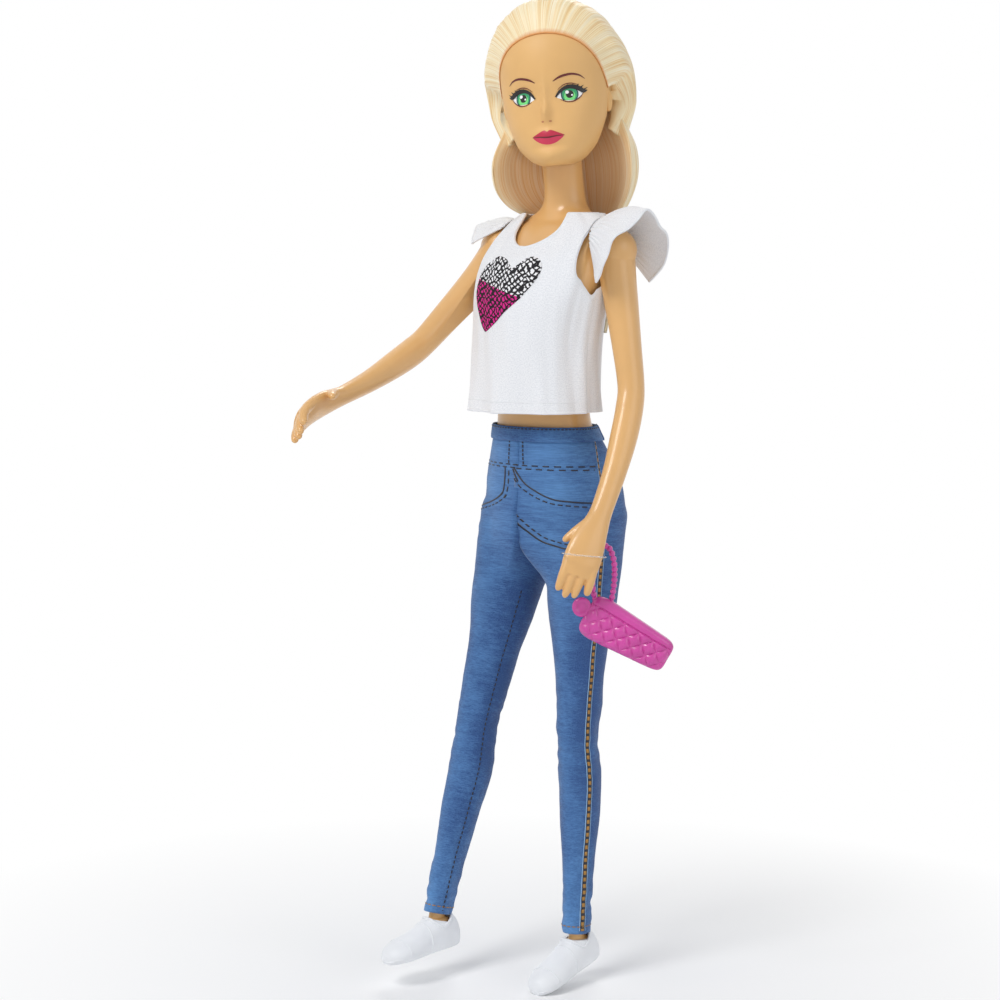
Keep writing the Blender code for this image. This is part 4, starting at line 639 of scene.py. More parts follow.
def torso_rows(steps):
    """Height, half width, reach ahead and reach behind, from the crotch to the top of the neck."""
    pelvis = [(HIP_HEIGHT + up * PELVIS_RISE, wide * HIP_HALF_WIDTH, ahead * HIP_DEPTH, behind * HIP_DEPTH)
              for up, wide, ahead, behind in PELVIS_SHARES[:-1]]
    chest = [(WAIST_HEIGHT + up * CHEST_RISE, wide * BUST_HALF_WIDTH, ahead * BUST_DEPTH, behind * BUST_DEPTH)
             for up, wide, ahead, behind in CHEST_SHARES]
    neck_low = (NECK_BASE_HEIGHT + NECK_RADIUS / 2, NECK_RADIUS, NECK_RADIUS - NECK_SET_BACK,
                NECK_RADIUS + NECK_SET_BACK)
    neck_top = (NECK_TOP_HEIGHT, NECK_RADIUS - SEAM_GAP, NECK_RADIUS - KNOB_SET_BACK - SEAM_GAP,
                NECK_RADIUS + KNOB_SET_BACK - SEAM_GAP)
    return smooth_rows([*pelvis, *chest, neck_low, neck_top], steps)


def leg_rings(side, grow, steps, points):
    """Level rings of one leg from the thigh to the ankle, each `grow` outside the skin."""
    rings = []
    for drop, across, wide, ahead, behind in smooth_rows(LEG_SHARES, steps):
        ahead, behind = ahead * THIGH_DEPTH + grow, behind * THIGH_DEPTH + grow
        centre = hip_place(side) + Vector((side * across * LEG_DROP, (behind - ahead) / 2, -drop * LEG_DROP))
        rings.append(oval(centre, Vector((side, 0, 0)), FRONT, wide * THIGH_HALF_WIDTH + grow,
                          (ahead + behind) / 2, points))
    return rings


def shoe_rings(side, shrink, steps, points):
    """Rings from heel to toe, flat along the sole, each `shrink` inside the shoe's outer face."""
    ahead, up = foot_directions()
    rings = []
    for share, wide, tall in smooth_rows(SHOE_SHARES, steps):
        along = shrink - HEEL_SET_BACK + share * (FOOT_LENGTH - 2 * shrink)
        base = ankle_place(side) + ahead * along + up * (shrink - SOLE_DROP)
        half, height = wide * SHOE_HALF_WIDTH - shrink, tall * SHOE_HEIGHT - 2 * shrink
        ring = []
        for k in range(points):
            angle = 2 * math.pi * k / points
            level = (max(math.sin(angle), -SOLE_FLAT_SHARE) + SOLE_FLAT_SHARE) / (1 + SOLE_FLAT_SHARE)
            ring.append(base + Vector((half * math.cos(angle), 0, 0)) + up * height * level)
        rings.append(ring)
    return rings


def frame_along(axis):
    """A turn that takes +Z to `axis`."""
    return UP.rotation_difference(axis).to_matrix().to_4x4()


TORSO_ROWS = torso_rows(8)
LEG_ROWS = smooth_rows(LEG_SHARES, 8)
SHIRT_RISE = NECK_BASE_HEIGHT - SHIRT_HEM_HEIGHT
SHIRT_ROWS = smooth_rows([(SHIRT_HEM_HEIGHT + up * SHIRT_RISE, wide * BUST_HALF_WIDTH, ahead * BUST_DEPTH,
                           behind * BUST_DEPTH) for up, wide, ahead, behind in SHIRT_SHARES], 8)


# Materials

def socket(group, name, kind, way="INPUT", value=None):
    made = group.interface.new_socket(name=name, in_out=way, socket_type="NodeSocket" + kind)
    if value is not None:
        made.default_value = value


def link(tree, start, end):
    tree.links.new(start, end)


def feed(tree, value, port):
    """Links a value to a socket, or sets the socket if it is a plain number or colour."""
    if hasattr(value, "is_linked"):
        link(tree, value, port)
    else:
        port.default_value = value


def maths(tree, operation, *values, clamp=False):
    node = tree.nodes.new("ShaderNodeMath")
    node.operation = operation
    node.use_clamp = clamp
    for port, value in zip(node.inputs, values):
        feed(tree, value, port)
    return node.outputs[0]


def mix(tree, share, first, second):
    node = tree.nodes.new("ShaderNodeMix")
    node.data_type = "RGBA"
    for number, value in ((0, share), (6, first), (7, second)):
        feed(tree, value, node.inputs[number])
    return node.outputs[2]


def spread(tree, value, low, high, start=0.0, end=1.0):
    node = tree.nodes.new("ShaderNodeMapRange")
    for port, given in zip(node.inputs, (value, low, high, start, end)):
        feed(tree, given, port)
    return node.outputs[0]


def split(tree, vector):
    node = tree.nodes.new("ShaderNodeSeparateXYZ")
    link(tree, vector, node.inputs[0])
    return node.outputs


def noise_texture(tree, vector, scale, detail=3.0):
    node = tree.nodes.new("ShaderNodeTexNoise")
    for name, value in (("Vector", vector), ("Scale", scale), ("Detail", detail)):
        feed(tree, value, node.inputs[name])
    return node.outputs["Fac"]


def attribute(tree, name):
    node = tree.nodes.new("ShaderNodeAttribute")
    node.attribute_name = name
    return node.outputs["Fac"]


def new_group(name, inputs, outputs):
    group = bpy.data.node_groups.new(name, "ShaderNodeTree")
    for label, kind, value in inputs:
        socket(group, label, kind, value=value)
    for label, kind in outputs:
        socket(group, label, kind, "OUTPUT")
    return group, group.nodes.new("NodeGroupInput").outputs, group.nodes.new("NodeGroupOutput").inputs


def grain_group():
    """Fine mottling of moulded vinyl: a height and a slow shade."""
    group, given, out = new_group("Vinyl grain", (("Vector", "Vector", None), ("Scale", "Float", 900.0)),
                                  (("Height", "Float"), ("Shade", "Float")))
    link(group, noise_texture(group, given["Vector"], given["Scale"]), out["Height"])
    slow = maths(group, "MULTIPLY", given["Scale"], 0.07)
    link(group, noise_texture(group, given["Vector"], slow), out["Shade"])
    return group


def weave_group():
    """Crossing threads on a flat map in metres."""
    group, given, out = new_group("Weave", (("Vector", "Vector", None), ("Pitch", "Float", 0.0004)),
                                  (("Height", "Float"), ("Thread", "Float")))
    parts = split(group, given["Vector"])
    turns = maths(group, "DIVIDE", 2 * math.pi, given["Pitch"])
    warp = maths(group, "SINE", maths(group, "MULTIPLY", parts[0], turns))
    weft = maths(group, "SINE", maths(group, "MULTIPLY", parts[1], turns))
    cross = maths(group, "MULTIPLY", warp, weft)
    link(group, spread(group, cross, -1.0, 1.0), out["Height"])
    rough = noise_texture(group, given["Vector"], 2600.0, 2.0)
    link(group, maths(group, "MULTIPLY", spread(group, cross, -1.0, 1.0, 0.7, 1.0), rough), out["Thread"])
    return group


def streak_group():
    """Long streaks along the map's second axis, as in combed hair or worn denim."""
    group, given, out = new_group("Streaks", (("Vector", "Vector", None), ("Across", "Float", 900.0),
                                              ("Along", "Float", 30.0)),
                                  (("Fine", "Float"), ("Broad", "Float")))
    parts = split(group, given["Vector"])
    for name, share in (("Fine", 1.0), ("Broad", 0.22)):
        join = group.nodes.new("ShaderNodeCombineXYZ")
        for axis, label in enumerate(("Across", "Along")):
            scale = maths(group, "MULTIPLY", given[label], share)
            link(group, maths(group, "MULTIPLY", parts[axis], scale), join.inputs[axis])
        link(group, noise_texture(group, join.outputs[0], 1.0, 4.0), out[name])
    return group


def group_node(tree, group, vector, **values):
    node = tree.nodes.new("ShaderNodeGroup")
    node.node_tree = group
    link(tree, vector, node.inputs["Vector"])
    for name, value in values.items():
        node.inputs[name].default_value = value
    return node.outputs


def place(tree, flat=False):
    node = tree.nodes.new("ShaderNodeTexCoord")
    return node.outputs["UV" if flat else "Object"]


def start_material(name, roughness=0.5, specular=0.5, coat=0.0, sheen=0.0):
    made = bpy.data.materials.new(name)
    made.use_nodes = True
    shader = made.node_tree.nodes["Principled BSDF"]
    for label, value in (("Roughness", roughness), ("Specular IOR Level", specular), ("Coat Weight", coat),
                         ("Coat Roughness", COAT_ROUGHNESS), ("Sheen Weight", sheen)):
        shader.inputs[label].default_value = value
    return made, made.node_tree, shader.inputs


def bump(tree, height, target, strength, distance):
    node = tree.nodes.new("ShaderNodeBump")
    node.inputs["Strength"].default_value = strength
    node.inputs["Distance"].default_value = distance
    link(tree, height, node.inputs["Height"])
    link(tree, node.outputs[0], target["Normal"])


def vinyl(name, colour, groups, roughness, coat=0.0, grain=900.0, depth=0.00002, shade=0.06):
    made, tree, inputs = start_material(name, roughness, coat=coat)
    texture = group_node(tree, groups["grain"], place(tree), Scale=grain)
    dark, light = (tuple(min(value * level, 1) for value in colour[:3]) + (1,) for level in (1 - shade, 1 + shade))
    link(tree, mix(tree, spread(tree, texture["Shade"], 0.35, 0.65), dark, light), inputs["Base Color"])
    link(tree, spread(tree, texture["Height"], 0.3, 0.7, roughness - 0.02, roughness + 0.03), inputs["Roughness"])
    bump(tree, texture["Height"], inputs, 0.2, depth)
    return made


def print_ink(name, colour, groups, roughness=0.4):
    return vinyl(name, colour, groups, roughness, grain=2500.0, depth=0.000004, shade=0.05)


def hair_material(groups):
    """Pale fibre with painted golden shade between the locks and under the falling hair, and a golden tint at the
    hairline.
    """
    made, tree, inputs = start_material("Combed hair", 0.42, 0.45, sheen=0.15)
    texture = group_node(tree, groups["streaks"], place(tree, flat=True), Across=5200.0, Along=26.0)
    depth = maths(tree, "ADD", maths(tree, "MULTIPLY", texture["Fine"], 0.76),
                  maths(tree, "MULTIPLY", attribute(tree, "lock"), 0.24))
    ramp = tree.nodes.new("ShaderNodeValToRGB")
    # Low values give painted golden shade between the locks, high ones the pale fibre
    stops = ((0.24, tone(206, 150, 88)), (0.40, tone(236, 203, 146)), (0.52, tone(247, 229, 188)),
             (0.70, tone(253, 245, 222)))
    while len(ramp.color_ramp.elements) < len(stops):
        ramp.color_ramp.elements.new(0.5)
    for spot, (share, colour) in zip(ramp.color_ramp.elements, stops):
        spot.position, spot.color = share, colour
    link(tree, depth, ramp.inputs[0])
    # The value read here mixes in golden: a tint along the hairline of the cap, and painted shade on the inner
    # layer of the falling hair
    link(tree, mix(tree, attribute(tree, "root"), ramp.outputs[0], tone(226, 150, 78)), inputs["Base Color"])
    bump(tree, texture["Fine"], inputs, 0.8, 0.00010)
    return made


def cotton_material(groups):
    made, tree, inputs = start_material("White knit", 0.88, 0.25, sheen=0.25)
    weave = group_node(tree, groups["weave"], place(tree, flat=True), Pitch=0.00042)
    link(tree, mix(tree, spread(tree, weave["Thread"], 0.25, 0.6), tone(226, 228, 232), tone(246, 247, 249)),
         inputs["Base Color"])
    bump(tree, weave["Height"], inputs, 0.5, 0.00005)
    return made


def denim_material(groups):
    """Knit printed as worn denim: darker at the thigh, paler down the shin, with streaks and a twill."""
    made, tree, inputs = start_material("Printed denim", 0.82, 0.25, sheen=0.2)
    flat = place(tree, flat=True)
    streaks = group_node(tree, groups["streaks"], flat, Across=520.0, Along=3400.0)
    weave = group_node(tree, groups["weave"], flat, Pitch=0.00036)
    around, height = split(tree, flat)[:2]
    worn = spread(tree, noise_texture(tree, flat, 75.0, 4.0), 0.3, 0.7, 0.34, 0.80)
    dark = spread(tree, height, 0.150, 0.105, 0.50, 0.72)
    pale = spread(tree, height, 0.060, 0.020, 0.0, 0.42)
    level = maths(tree, "SUBTRACT", maths(tree, "ADD", worn, pale), dark)
    front = maths(tree, "ABSOLUTE", maths(tree, "SUBTRACT", around, math.pi * THIGH_HALF_WIDTH))
    level = maths(tree, "ADD", level, spread(tree, front, 0.0, 0.012, 0.34, 0.0))
    level = maths(tree, "ADD", level, spread(tree, streaks["Fine"], 0.35, 0.65, -0.08, 0.26))
    level = maths(tree, "ADD", level, spread(tree, streaks["Broad"], 0.35, 0.65, -0.05, 0.15), clamp=True)
    base = mix(tree, level, tone(38, 66, 120), tone(100, 152, 208))
    thread = maths(tree, "MULTIPLY", spread(tree, weave["Thread"], 0.2, 0.6), 0.35)
    link(tree, mix(tree, thread, base, tone(92, 142, 200)), inputs["Base Color"])
    bump(tree, weave["Height"], inputs, 0.6, 0.00006)
    return made


def new_object(name, data):
    made = bpy.data.objects.new(name, data)
    bpy.context.scene.collection.objects.link(made)
    return made


def mesh_object(name, bm, **values):
    """A smooth mesh object from a bmesh, with named values at its points."""
    mesh = bpy.data.meshes.new(name)
    bm.to_mesh(mesh)
    bm.free()
    for label, rows in values.items():
        spot = mesh.attributes.new(label, "FLOAT", "POINT")
        spot.data.foreach_set("value", [value for row in rows for value in row])
    mesh.shade_smooth()
    return new_object(name, mesh)


def hatch_material(name, first, second):
    """Quick scribbled strokes of one ink over another."""
    made, tree, inputs = start_material(name, 0.75, 0.25)
    flat = place(tree, flat=True)
    wobble = noise_texture(tree, flat, 420.0, 3.0)
    parts = split(tree, flat)
    strokes = None
    for turn, pitch in ((0.9, 0.0011), (2.35, 0.0016)):
        run = maths(tree, "ADD", maths(tree, "MULTIPLY", parts[0], math.cos(turn)),
                    maths(tree, "MULTIPLY", parts[1], math.sin(turn)))
        wave = maths(tree, "SINE", maths(tree, "ADD", maths(tree, "MULTIPLY", run, 2 * math.pi / pitch),
                                         maths(tree, "MULTIPLY", wobble, 14.0)))
        stroke = spread(tree, wave, 0.15, 0.45)
        strokes = stroke if strokes is None else maths(tree, "MAXIMUM", strokes, stroke)
    link(tree, mix(tree, strokes, first, second), inputs["Base Color"])
    bump(tree, wobble, inputs, 0.3, 0.00003)
    return made


def clear_material(groups):
    made, tree, inputs = start_material("Clear thread", 0.12, 0.5)
    inputs["Transmission Weight"].default_value = 0.85
    texture = group_node(tree, groups["grain"], place(tree), Scale=1500.0)
    link(tree, mix(tree, texture["Height"], tone(236, 238, 240), tone(252, 252, 252)), inputs["Base Color"])
    bump(tree, texture["Height"], inputs, 0.2, 0.00001)
    return made


# Shapes

def sew(name, bm):
    """A mesh object from a bmesh, facing out and smooth."""
    bmesh.ops.recalc_face_normals(bm, faces=bm.faces)
    return mesh_object(name, bm)


def net(name, grid, closed=False, flat=None, **values):
    """A sheet through a grid of points, with a map in metres and named values at its points."""
    bm = bmesh.new()
    rows, columns = len(grid), len(grid[0])
    verts = [[bm.verts.new(point) for point in row] for row in grid]
    layer = bm.loops.layers.uv.new("UVMap")
    for i in range(rows - 1):
        for j in range(columns if closed else columns - 1):
            k = (j + 1) % columns
            face = bm.faces.new((verts[i][j], verts[i][k], verts[i + 1][k], verts[i + 1][j]))
            if flat:
                for loop, (a, b) in zip(face.loops, ((i, j), (i, j + 1), (i + 1, j + 1), (i + 1, j))):
                    loop[layer].uv = flat(a, b)
    return mesh_object(name, bm, **values)


def bridge(bm, low, high):
    """Faces between two rings of equal count."""
    for k in range(len(low)):
        after = (k + 1) % len(low)
        bm.faces.new((low[k], low[after], high[after], high[k]))


def disc(bm, rows):
    """Faces from a single vertex, the first row, out over the rings that follow."""
    first = rows[1]
    for k in range(len(first)):
        bm.faces.new((rows[0][0], first[k], first[(k + 1) % len(first)]))
    for low, high in zip(rows[1:], rows[2:]):
        bridge(bm, low, high)


def strip(bm, pairs):
    """Faces along a row of pairs of vertices."""
    for first, second in zip(pairs, pairs[1:]):
        bm.faces.new((first[0], first[1], second[1], second[0]))


def finish(made, matrix, ink, body, slot, *nodes):
    """Puts a piece in its place, gives it its finish and the body it rides on, and hides the solids it stands for.
    """
    move(made, matrix)
    paint(made, ink)
    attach(made, body)
    if nodes:
        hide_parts(*nodes)
    return made


def applied(made):
    """The object with its modifiers made part of its mesh."""
    bpy.context.view_layer.update()
    graph = bpy.context.evaluated_depsgraph_get()
    mesh = bpy.data.meshes.new_from_object(made.evaluated_get(graph), preserve_all_data_layers=True,
                                           depsgraph=graph)
    old = made.data
    made.modifiers.clear()
    made.data = mesh
    bpy.data.meshes.remove(old)
    mesh.shade_smooth()
    return made


def thicken(made, thickness, offset=-1.0):
    """Gives a sheet a closed body behind its face."""
    step = made.modifiers.new("Thickness", "SOLIDIFY")
    step.thickness = thickness
    step.offset = offset
    step.use_even_offset = False
    return applied(made)


def turned_outward(made, centre):
    """Flips the faces if they look towards the centre."""
    mesh = made.data
    look = sum((face.center - centre).dot(face.normal) * face.area for face in mesh.polygons)
    if look < 0:
        mesh.flip_normals()
    return made


def carve(made, cutters, operation="DIFFERENCE", smooth_degrees=40):
    """Cuts or joins other meshes and applies the result."""
    for other in cutters:
        step = made.modifiers.new(other.name, "BOOLEAN")
        step.operation = operation
        step.solver = "EXACT"
        step.object = other
    applied(made)
    for other in cutters:
        bpy.data.objects.remove(other, do_unlink=True)
    made.data.set_sharp_from_angle(angle=math.radians(smooth_degrees))
    return made


def soften(made, voxel, rounds):
    """Melts joined shapes into one skin."""
    step = made.modifiers.new("Skin", "REMESH")
    step.mode = "VOXEL"
    step.voxel_size = voxel
    step.use_smooth_shade = True
    smooth = made.modifiers.new("Melt", "SMOOTH")
    smooth.factor = 0.5
    smooth.iterations = rounds
    return applied(made)


def move(made, matrix):
    made.data.transform(matrix)


def paint(made, ink):
    made.data.materials.clear()
    made.data.materials.append(ink)


def as_cloth():
    """Declares nothing: it only defines a helper that adds up the lengths between points, and gives back nothing.
    """
    def walk(points):
        return sum((second - first).length for first, second in zip(points, points[1:]))


def skin_tree(made):
    """A tree for casting rays at an object's mesh."""
    bm = bmesh.new()
    bm.from_mesh(made.data)
    tree = BVHTree.FromBMesh(bm)
    bm.free()
    return tree


def ripple(x, y, z):
    return noise.noise(Vector((x, y, z)))


def ease(value, low=0.0, high=1.0):
    share = min(max((value - low) / (high - low), 0.0), 1.0)
    return share * share * (3 - 2 * share)


def round_line(points, steps):
    """A smooth line of points on a Catmull-Rom curve."""
    rows = smooth_rows([tuple(point) for point in points], steps)
    return [Vector(row) for row in rows]


def loft(name, rings, closed=False):
    """A solid through rings of equal count, capped at both ends or closed to a loop."""
    bm = bmesh.new()
    made = [[bm.verts.new(point) for point in ring] for ring in rings]
    for low, high in zip(made, made[1:]):
        bridge(bm, low, high)
    if closed:
        bridge(bm, made[-1], made[0])
    else:
        bm.faces.new(made[0])
        bm.faces.new(made[-1])
    return sew(name, bm)


def head_turn(share=1):
    """The part of the head's turn and roll that a piece takes with it."""
    turn = Matrix.Rotation(math.radians(HEAD_TURN_DEGREES * share), 4, "Z")
    return turn @ Matrix.Rotation(math.radians(HEAD_ROLL_DEGREES * share), 4, FRONT)


def ball(name, centre, radius, shares=(1, 1, 1), points=48):
    bm = bmesh.new()
    bmesh.ops.create_uvsphere(bm, u_segments=points, v_segments=points // 2, radius=radius)
    bmesh.ops.transform(bm, matrix=Matrix.Translation(centre) @ Matrix.Diagonal((*shares, 1)), verts=bm.verts)
    return sew(name, bm)


def beyond(name, point, axis, size=SHOULDER_HEIGHT):
    """A block that fills everything past a plane."""
    bm = bmesh.new()
    bmesh.ops.create_cube(bm, size=size)
    shift = Matrix.Translation(Vector(point) + Vector(axis) * size / 2)
    bmesh.ops.transform(bm, matrix=shift @ frame_along(Vector(axis)), verts=bm.verts)
    return sew(name, bm)


def rod(name, start, axis, radius, length, points=64):
    bm = bmesh.new()
    bmesh.ops.create_cone(bm, cap_ends=True, segments=points, radius1=radius, radius2=radius, depth=length)
    shift = Matrix.Translation(Vector(start) + Vector(axis) * length / 2)
    bmesh.ops.transform(bm, matrix=shift @ frame_along(Vector(axis)), verts=bm.verts)
    return sew(name, bm)


def about(place, axis, degrees):
    return Matrix.Translation(place) @ Matrix.Rotation(math.radians(degrees), 4, axis) @ Matrix.Translation(-place)


def head_matrix():
    return PLACE @ Matrix.Translation(KNOB_PLACE) @ head_turn() @ Matrix.Translation(-KNOB_PLACE)


def arm_matrix(side):
    turn = LEFT_ARM_TURN_DEGREES if side > 0 else RIGHT_ARM_TURN_DEGREES
    return PLACE @ about(shoulder_place(side), shoulder_axis(side), -side * turn)


def leg_turn(side):
    return -side * (LEFT_LEG_TURN_DEGREES if side > 0 else RIGHT_LEG_TURN_DEGREES)


def leg_matrix(side):
    return PLACE @ about(hip_place(side), hip_axis(side), leg_turn(side))


def ring_tube(name, points, radius, sides=16, closed=False):
    """A round strand along points."""
    rings, last, end = [], None, len(points) - 1
    for k, point in enumerate(points):
        after = points[(k + 1) % len(points)] if closed else points[min(k + 1, end)]
        before = points[k - 1] if closed else points[max(k - 1, 0)]
        along = (after - before).normalized()
        side = last if last is not None else (UP if abs(along.z) < 0.9 else FRONT)
        last = (side - along * side.dot(along)).normalized()
        rings.append(oval(point, last, along.cross(last), radius, radius, sides))
    return loft(name, rings, closed)


# Body

def make_body(inks):
    rings = []
    for row in TORSO_ROWS:
        hidden = ease((WAIST_HEIGHT - WAISTBAND_RISE - row[0]) / PELVIS_RISE)
        if row[0] > HIP_HEIGHT - CROTCH_DROP:
            rings.append(level_ring(row, -BODY_SHRINK * 3 * hidden, 96))
    body = loft("body_skin", rings)
    carve(body, [beyond("cut", shoulder_place(side) - shoulder_axis(side) * SEAM_GAP / 2, shoulder_axis(side))
                 for side, word in SIDES])
    finish(body, PLACE, inks["skin"], "torso", "body_vinyl", "torso_front", "torso_back")


def finger_shape(name, start, along, palm, length, radius, curl):
    rings, spot, before = [], Vector(start), FINGER_TAPER_SHARES[0][0]
    spot += along * length * before
    side = along.cross(palm).normalized()
    for share, wide, bend in smooth_rows(FINGER_TAPER_SHARES, 4):
        angle = math.radians(curl * bend)
        heading = along * math.cos(angle) + palm * math.sin(angle)
        spot = spot + heading * length * (share - before)
        before = share
        joint = 1 + 0.05 * math.exp(-((share - 0.52) / 0.10) ** 2)
        rings.append(oval(spot, side, heading.cross(side), radius * wide * joint, radius * wide * joint, 20))
    return loft(name, rings)


def make_arm(side, word, curl, inks):
    rows = smooth_rows(ARM_SHARES, 8)
    frames = limb_frames(rows, shoulder_place(side), ARM_REACH, side)
    rings = [oval(centre, out, ahead, row[3] * ARM_HALF_THICKNESS, row[4] * ARM_HALF_THICKNESS, 40)
             for row, (centre, tangent, out, ahead) in zip(rows, frames)]
    arm = loft(word + "_arm_skin", rings)
    shapes = [ball("shoulder", frames[0][0], SHOULDER_BALL_RADIUS)]
    coarse = limb_frames(smooth_rows(ARM_SHARES, 2), shoulder_place(side), ARM_REACH, side)
    centre, along, out, ahead = coarse[KNUCKLE_ROW]
    for number, (across, length, spread_share) in enumerate(FINGER_SHARES):
        start = centre + ahead * across * FINGER_SPACING
        heading = (along + ahead * spread_share).normalized()
        bend = curl * (LITTLE_FINGER_CURL_SHARE if number == 3 else 1)
        shapes.append(finger_shape("finger", start, heading, -out, FINGER_LENGTH * FINGER_LONGER * length,
                                   FINGER_RADIUS * FINGER_FULLER, bend))
    centre, along, out, ahead = coarse[THUMB_ROW]
    down, forward, outward = THUMB_HEADING_SHARES
    heading = (along * down + ahead * forward + out * outward).normalized()
    shapes.append(finger_shape("thumb", centre + ahead * FINGER_SPACING, heading, -out, THUMB_LENGTH,
                               THUMB_RADIUS, curl / 2))
    carve(arm, shapes, "UNION")
    soften(arm, SKIN_GRAIN, 3)
    carve(arm, [beyond("cut", shoulder_place(side) + shoulder_axis(side) * SEAM_GAP / 2, -shoulder_axis(side),
                       ARM_REACH)])
    finish(arm, arm_matrix(side), inks["skin"], word + "_arm", "body_vinyl", word + "_arm")


def make_leg(side, word, inks):
    leg = loft(word + "_leg_skin", leg_rings(side, -BODY_SHRINK, 8, 48))
    carve(leg, [loft("foot", shoe_rings(side, SHOE_WALL + SEAM_GAP, 6, 40))], "UNION")
    finish(leg, leg_matrix(side), inks["skin"], word + "_leg", "body_vinyl", word + "_leg")


# Head and face

def make_head(inks):
    """The head with its ears and the hole for the neck; gives back its surface for the prints and the hair."""
    head = loft("head_skin", head_rings(200, 8))
    across, back = EAR_PLACE_SHARES
    ears = [ball("ear", Vector((side * across * HEAD_HALF_WIDTH, back * HEAD_DEPTH,
                                CHIN_HEIGHT + EAR_HEIGHT_SHARE * HEAD_RISE)), EAR_RADIUS, EAR_FORM_SHARES, 40)
            for side, word in SIDES]
    carve(head, ears, "UNION", 70)
    hole = rod("hole", KNOB_PLACE - UP * KNOB_RADIUS / 3, -UP, NECK_RADIUS + SEAM_GAP, HEAD_RISE / 2)
    carve(head, [hole], "DIFFERENCE", 70)
    face = skin_tree(head)
    finish(head, head_matrix(), inks["face"], "head", "head_vinyl", "head")
    return face


def on_face(tree, x, z, lift):
    """The point of the face at a place across and above the chin, raised by a hair."""
    start = Vector((x, -HEAD_DEPTH * 2, CHIN_HEIGHT + z))
    spot, normal, index, distance = tree.ray_cast(start, Vector((0, 1, 0)))
    if spot is None:
        raise ValueError(f"no face at {x}, {z}")
    return spot + normal * lift


def patch(name, tree, centre, outline, lift, ink, rings=6):
    """A printed shape on the face, given by its outline round a centre, in metres."""
    bm = bmesh.new()
    rows = [[bm.verts.new(on_face(tree, *centre, lift))]]
    for i in range(1, rings + 1):
        rows.append([bm.verts.new(on_face(tree, *(c + (p - c) * i / rings for c, p in zip(centre, spot)), lift))
                     for spot in outline])
    disc(bm, rows)
    finish(sew(name, bm), head_matrix(), ink, "head", "head_vinyl")


def band(name, tree, line, lift, ink):
    """A printed stroke on the face, along rows of a place across, a height and the stroke's width."""
    points = smooth_rows(line, 8)
    grid = []
    for k, (x, z, width) in enumerate(points):
        ax, az, aw = points[min(k + 1, len(points) - 1)]
        bx, bz, bw = points[max(k - 1, 0)]
        size = math.hypot(ax - bx, az - bz) or 1
        nx, nz = -(az - bz) / size, (ax - bx) / size
        nx, nz = nx * width, nz * width
        grid.append([on_face(tree, x + nx * s, z + nz * s, lift) for s in (0.5, 0.25, 0, -0.25, -0.5)])
    finish(net(name, grid), head_matrix(), ink, "head", "head_vinyl")


def circle(x, z, wide, tall, count=40, low=-2.0, high=2.0):
    """An oval outline, kept between two heights."""
    spots = []
    for k in range(count):
        angle = 2 * math.pi * k / count
        spots.append((x + wide * math.cos(angle), min(max(z + tall * math.sin(angle), low), high)))
    return spots


def almond(side, x, z):
    """The outline of an open eye."""
    return [(x + side * u * EYE_HALF_WIDTH, z + v * EYE_HALF_HEIGHT) for u, v in smooth_loop(EYE_OUTLINE, 6)]


def smooth_loop(points, steps):
    count = len(points)
    made = []
    for k in range(count):
        a, b, c, d = (points[(k + j) % count] for j in (-1, 0, 1, 2))
        for step in range(steps):
            t = step / steps
            made.append(tuple(0.5 * (2 * q + (r - p) * t + (2 * p - 5 * q + 4 * r - s) * t * t
                                     + (3 * q - p - 3 * r + s) * t ** 3) for p, q, r, s in zip(a, b, c, d)))
    return made


def make_eye(side, word, tree, inks):
    """One printed eye: the white, the iris in rings with painted light on its lower part, the glints, the lashes
    and the brow.
    """
    x, z = side * EYE_ACROSS, EYE_UP
    white = almond(side, x, z)
    patch(word + "_eye_white", tree, (x, z), white, PRINT_LIFT, inks["eye_white"])
    low, high = min(v for u, v in white) + LOWER_LID_COVER, max(v for u, v in white) - UPPER_LID_COVER
    look = x + side * IRIS_SHIFT
    for name, ink, size, drop, lift in IRIS_PRINTS:
        outline = circle(look, z - drop, size, size * IRIS_TALLNESS, 40, low, high)
        patch(f"{word}_eye_{name}", tree, (look, z), outline, lift, inks[ink])
    for name, across, up, size in GLINTS:
        spot = (look + across, z + up)
        patch(f"{word}_eye_{name}", tree, spot, circle(*spot, size, size, 24), GLINT_LIFT, inks["eye_white"])
    for name, ink, lift, rows in EYE_STROKES:
        line = [(x + side * u * EYE_HALF_WIDTH, z + v * EYE_HALF_HEIGHT, width) for u, v, width in rows]
        band(f"{word}_{name}", tree, line, lift, inks[ink])


def make_mouth(tree, inks):
    """The printed lips with the line between them, and the nostrils in painted shade."""
    for name, shape, ink, middle in (("upper_lip", UPPER_LIP, "lip_dark", 0.35),
                                     ("lower_lip", LOWER_LIP, "lip", -0.5)):
        outline = [(u * MOUTH_HALF_WIDTH, MOUTH_UP + v * MOUTH_HALF_HEIGHT) for u, v in smooth_loop(shape, 5)]
        patch(name, tree, (0, MOUTH_UP + middle * MOUTH_HALF_HEIGHT), outline, LIP_LIFT, inks[ink])
    line = [(u * MOUTH_HALF_WIDTH, MOUTH_UP + v * MOUTH_HALF_HEIGHT, width) for u, v, width in LIP_LINE]
    band("lip_line", tree, line, LIP_LINE_LIFT, inks["ink_brown"])
    # Each nostril is a small patch of painted shade
    for side, word in SIDES:
        spot = (side * NOSTRIL_ACROSS, NOSTRIL_UP)
        outline = circle(*spot, *NOSTRIL_HALF_SIZES, 20)
        patch(word + "_nostril", tree, spot, outline, PRINT_LIFT, inks["nostril_shade_ink"])


# Hair

def scalp_centre():
    back, up = SCALP_SHARES
    return Vector((0, HAIR_DEPTH * back, CHIN_HEIGHT + HAIR_RISE * up))


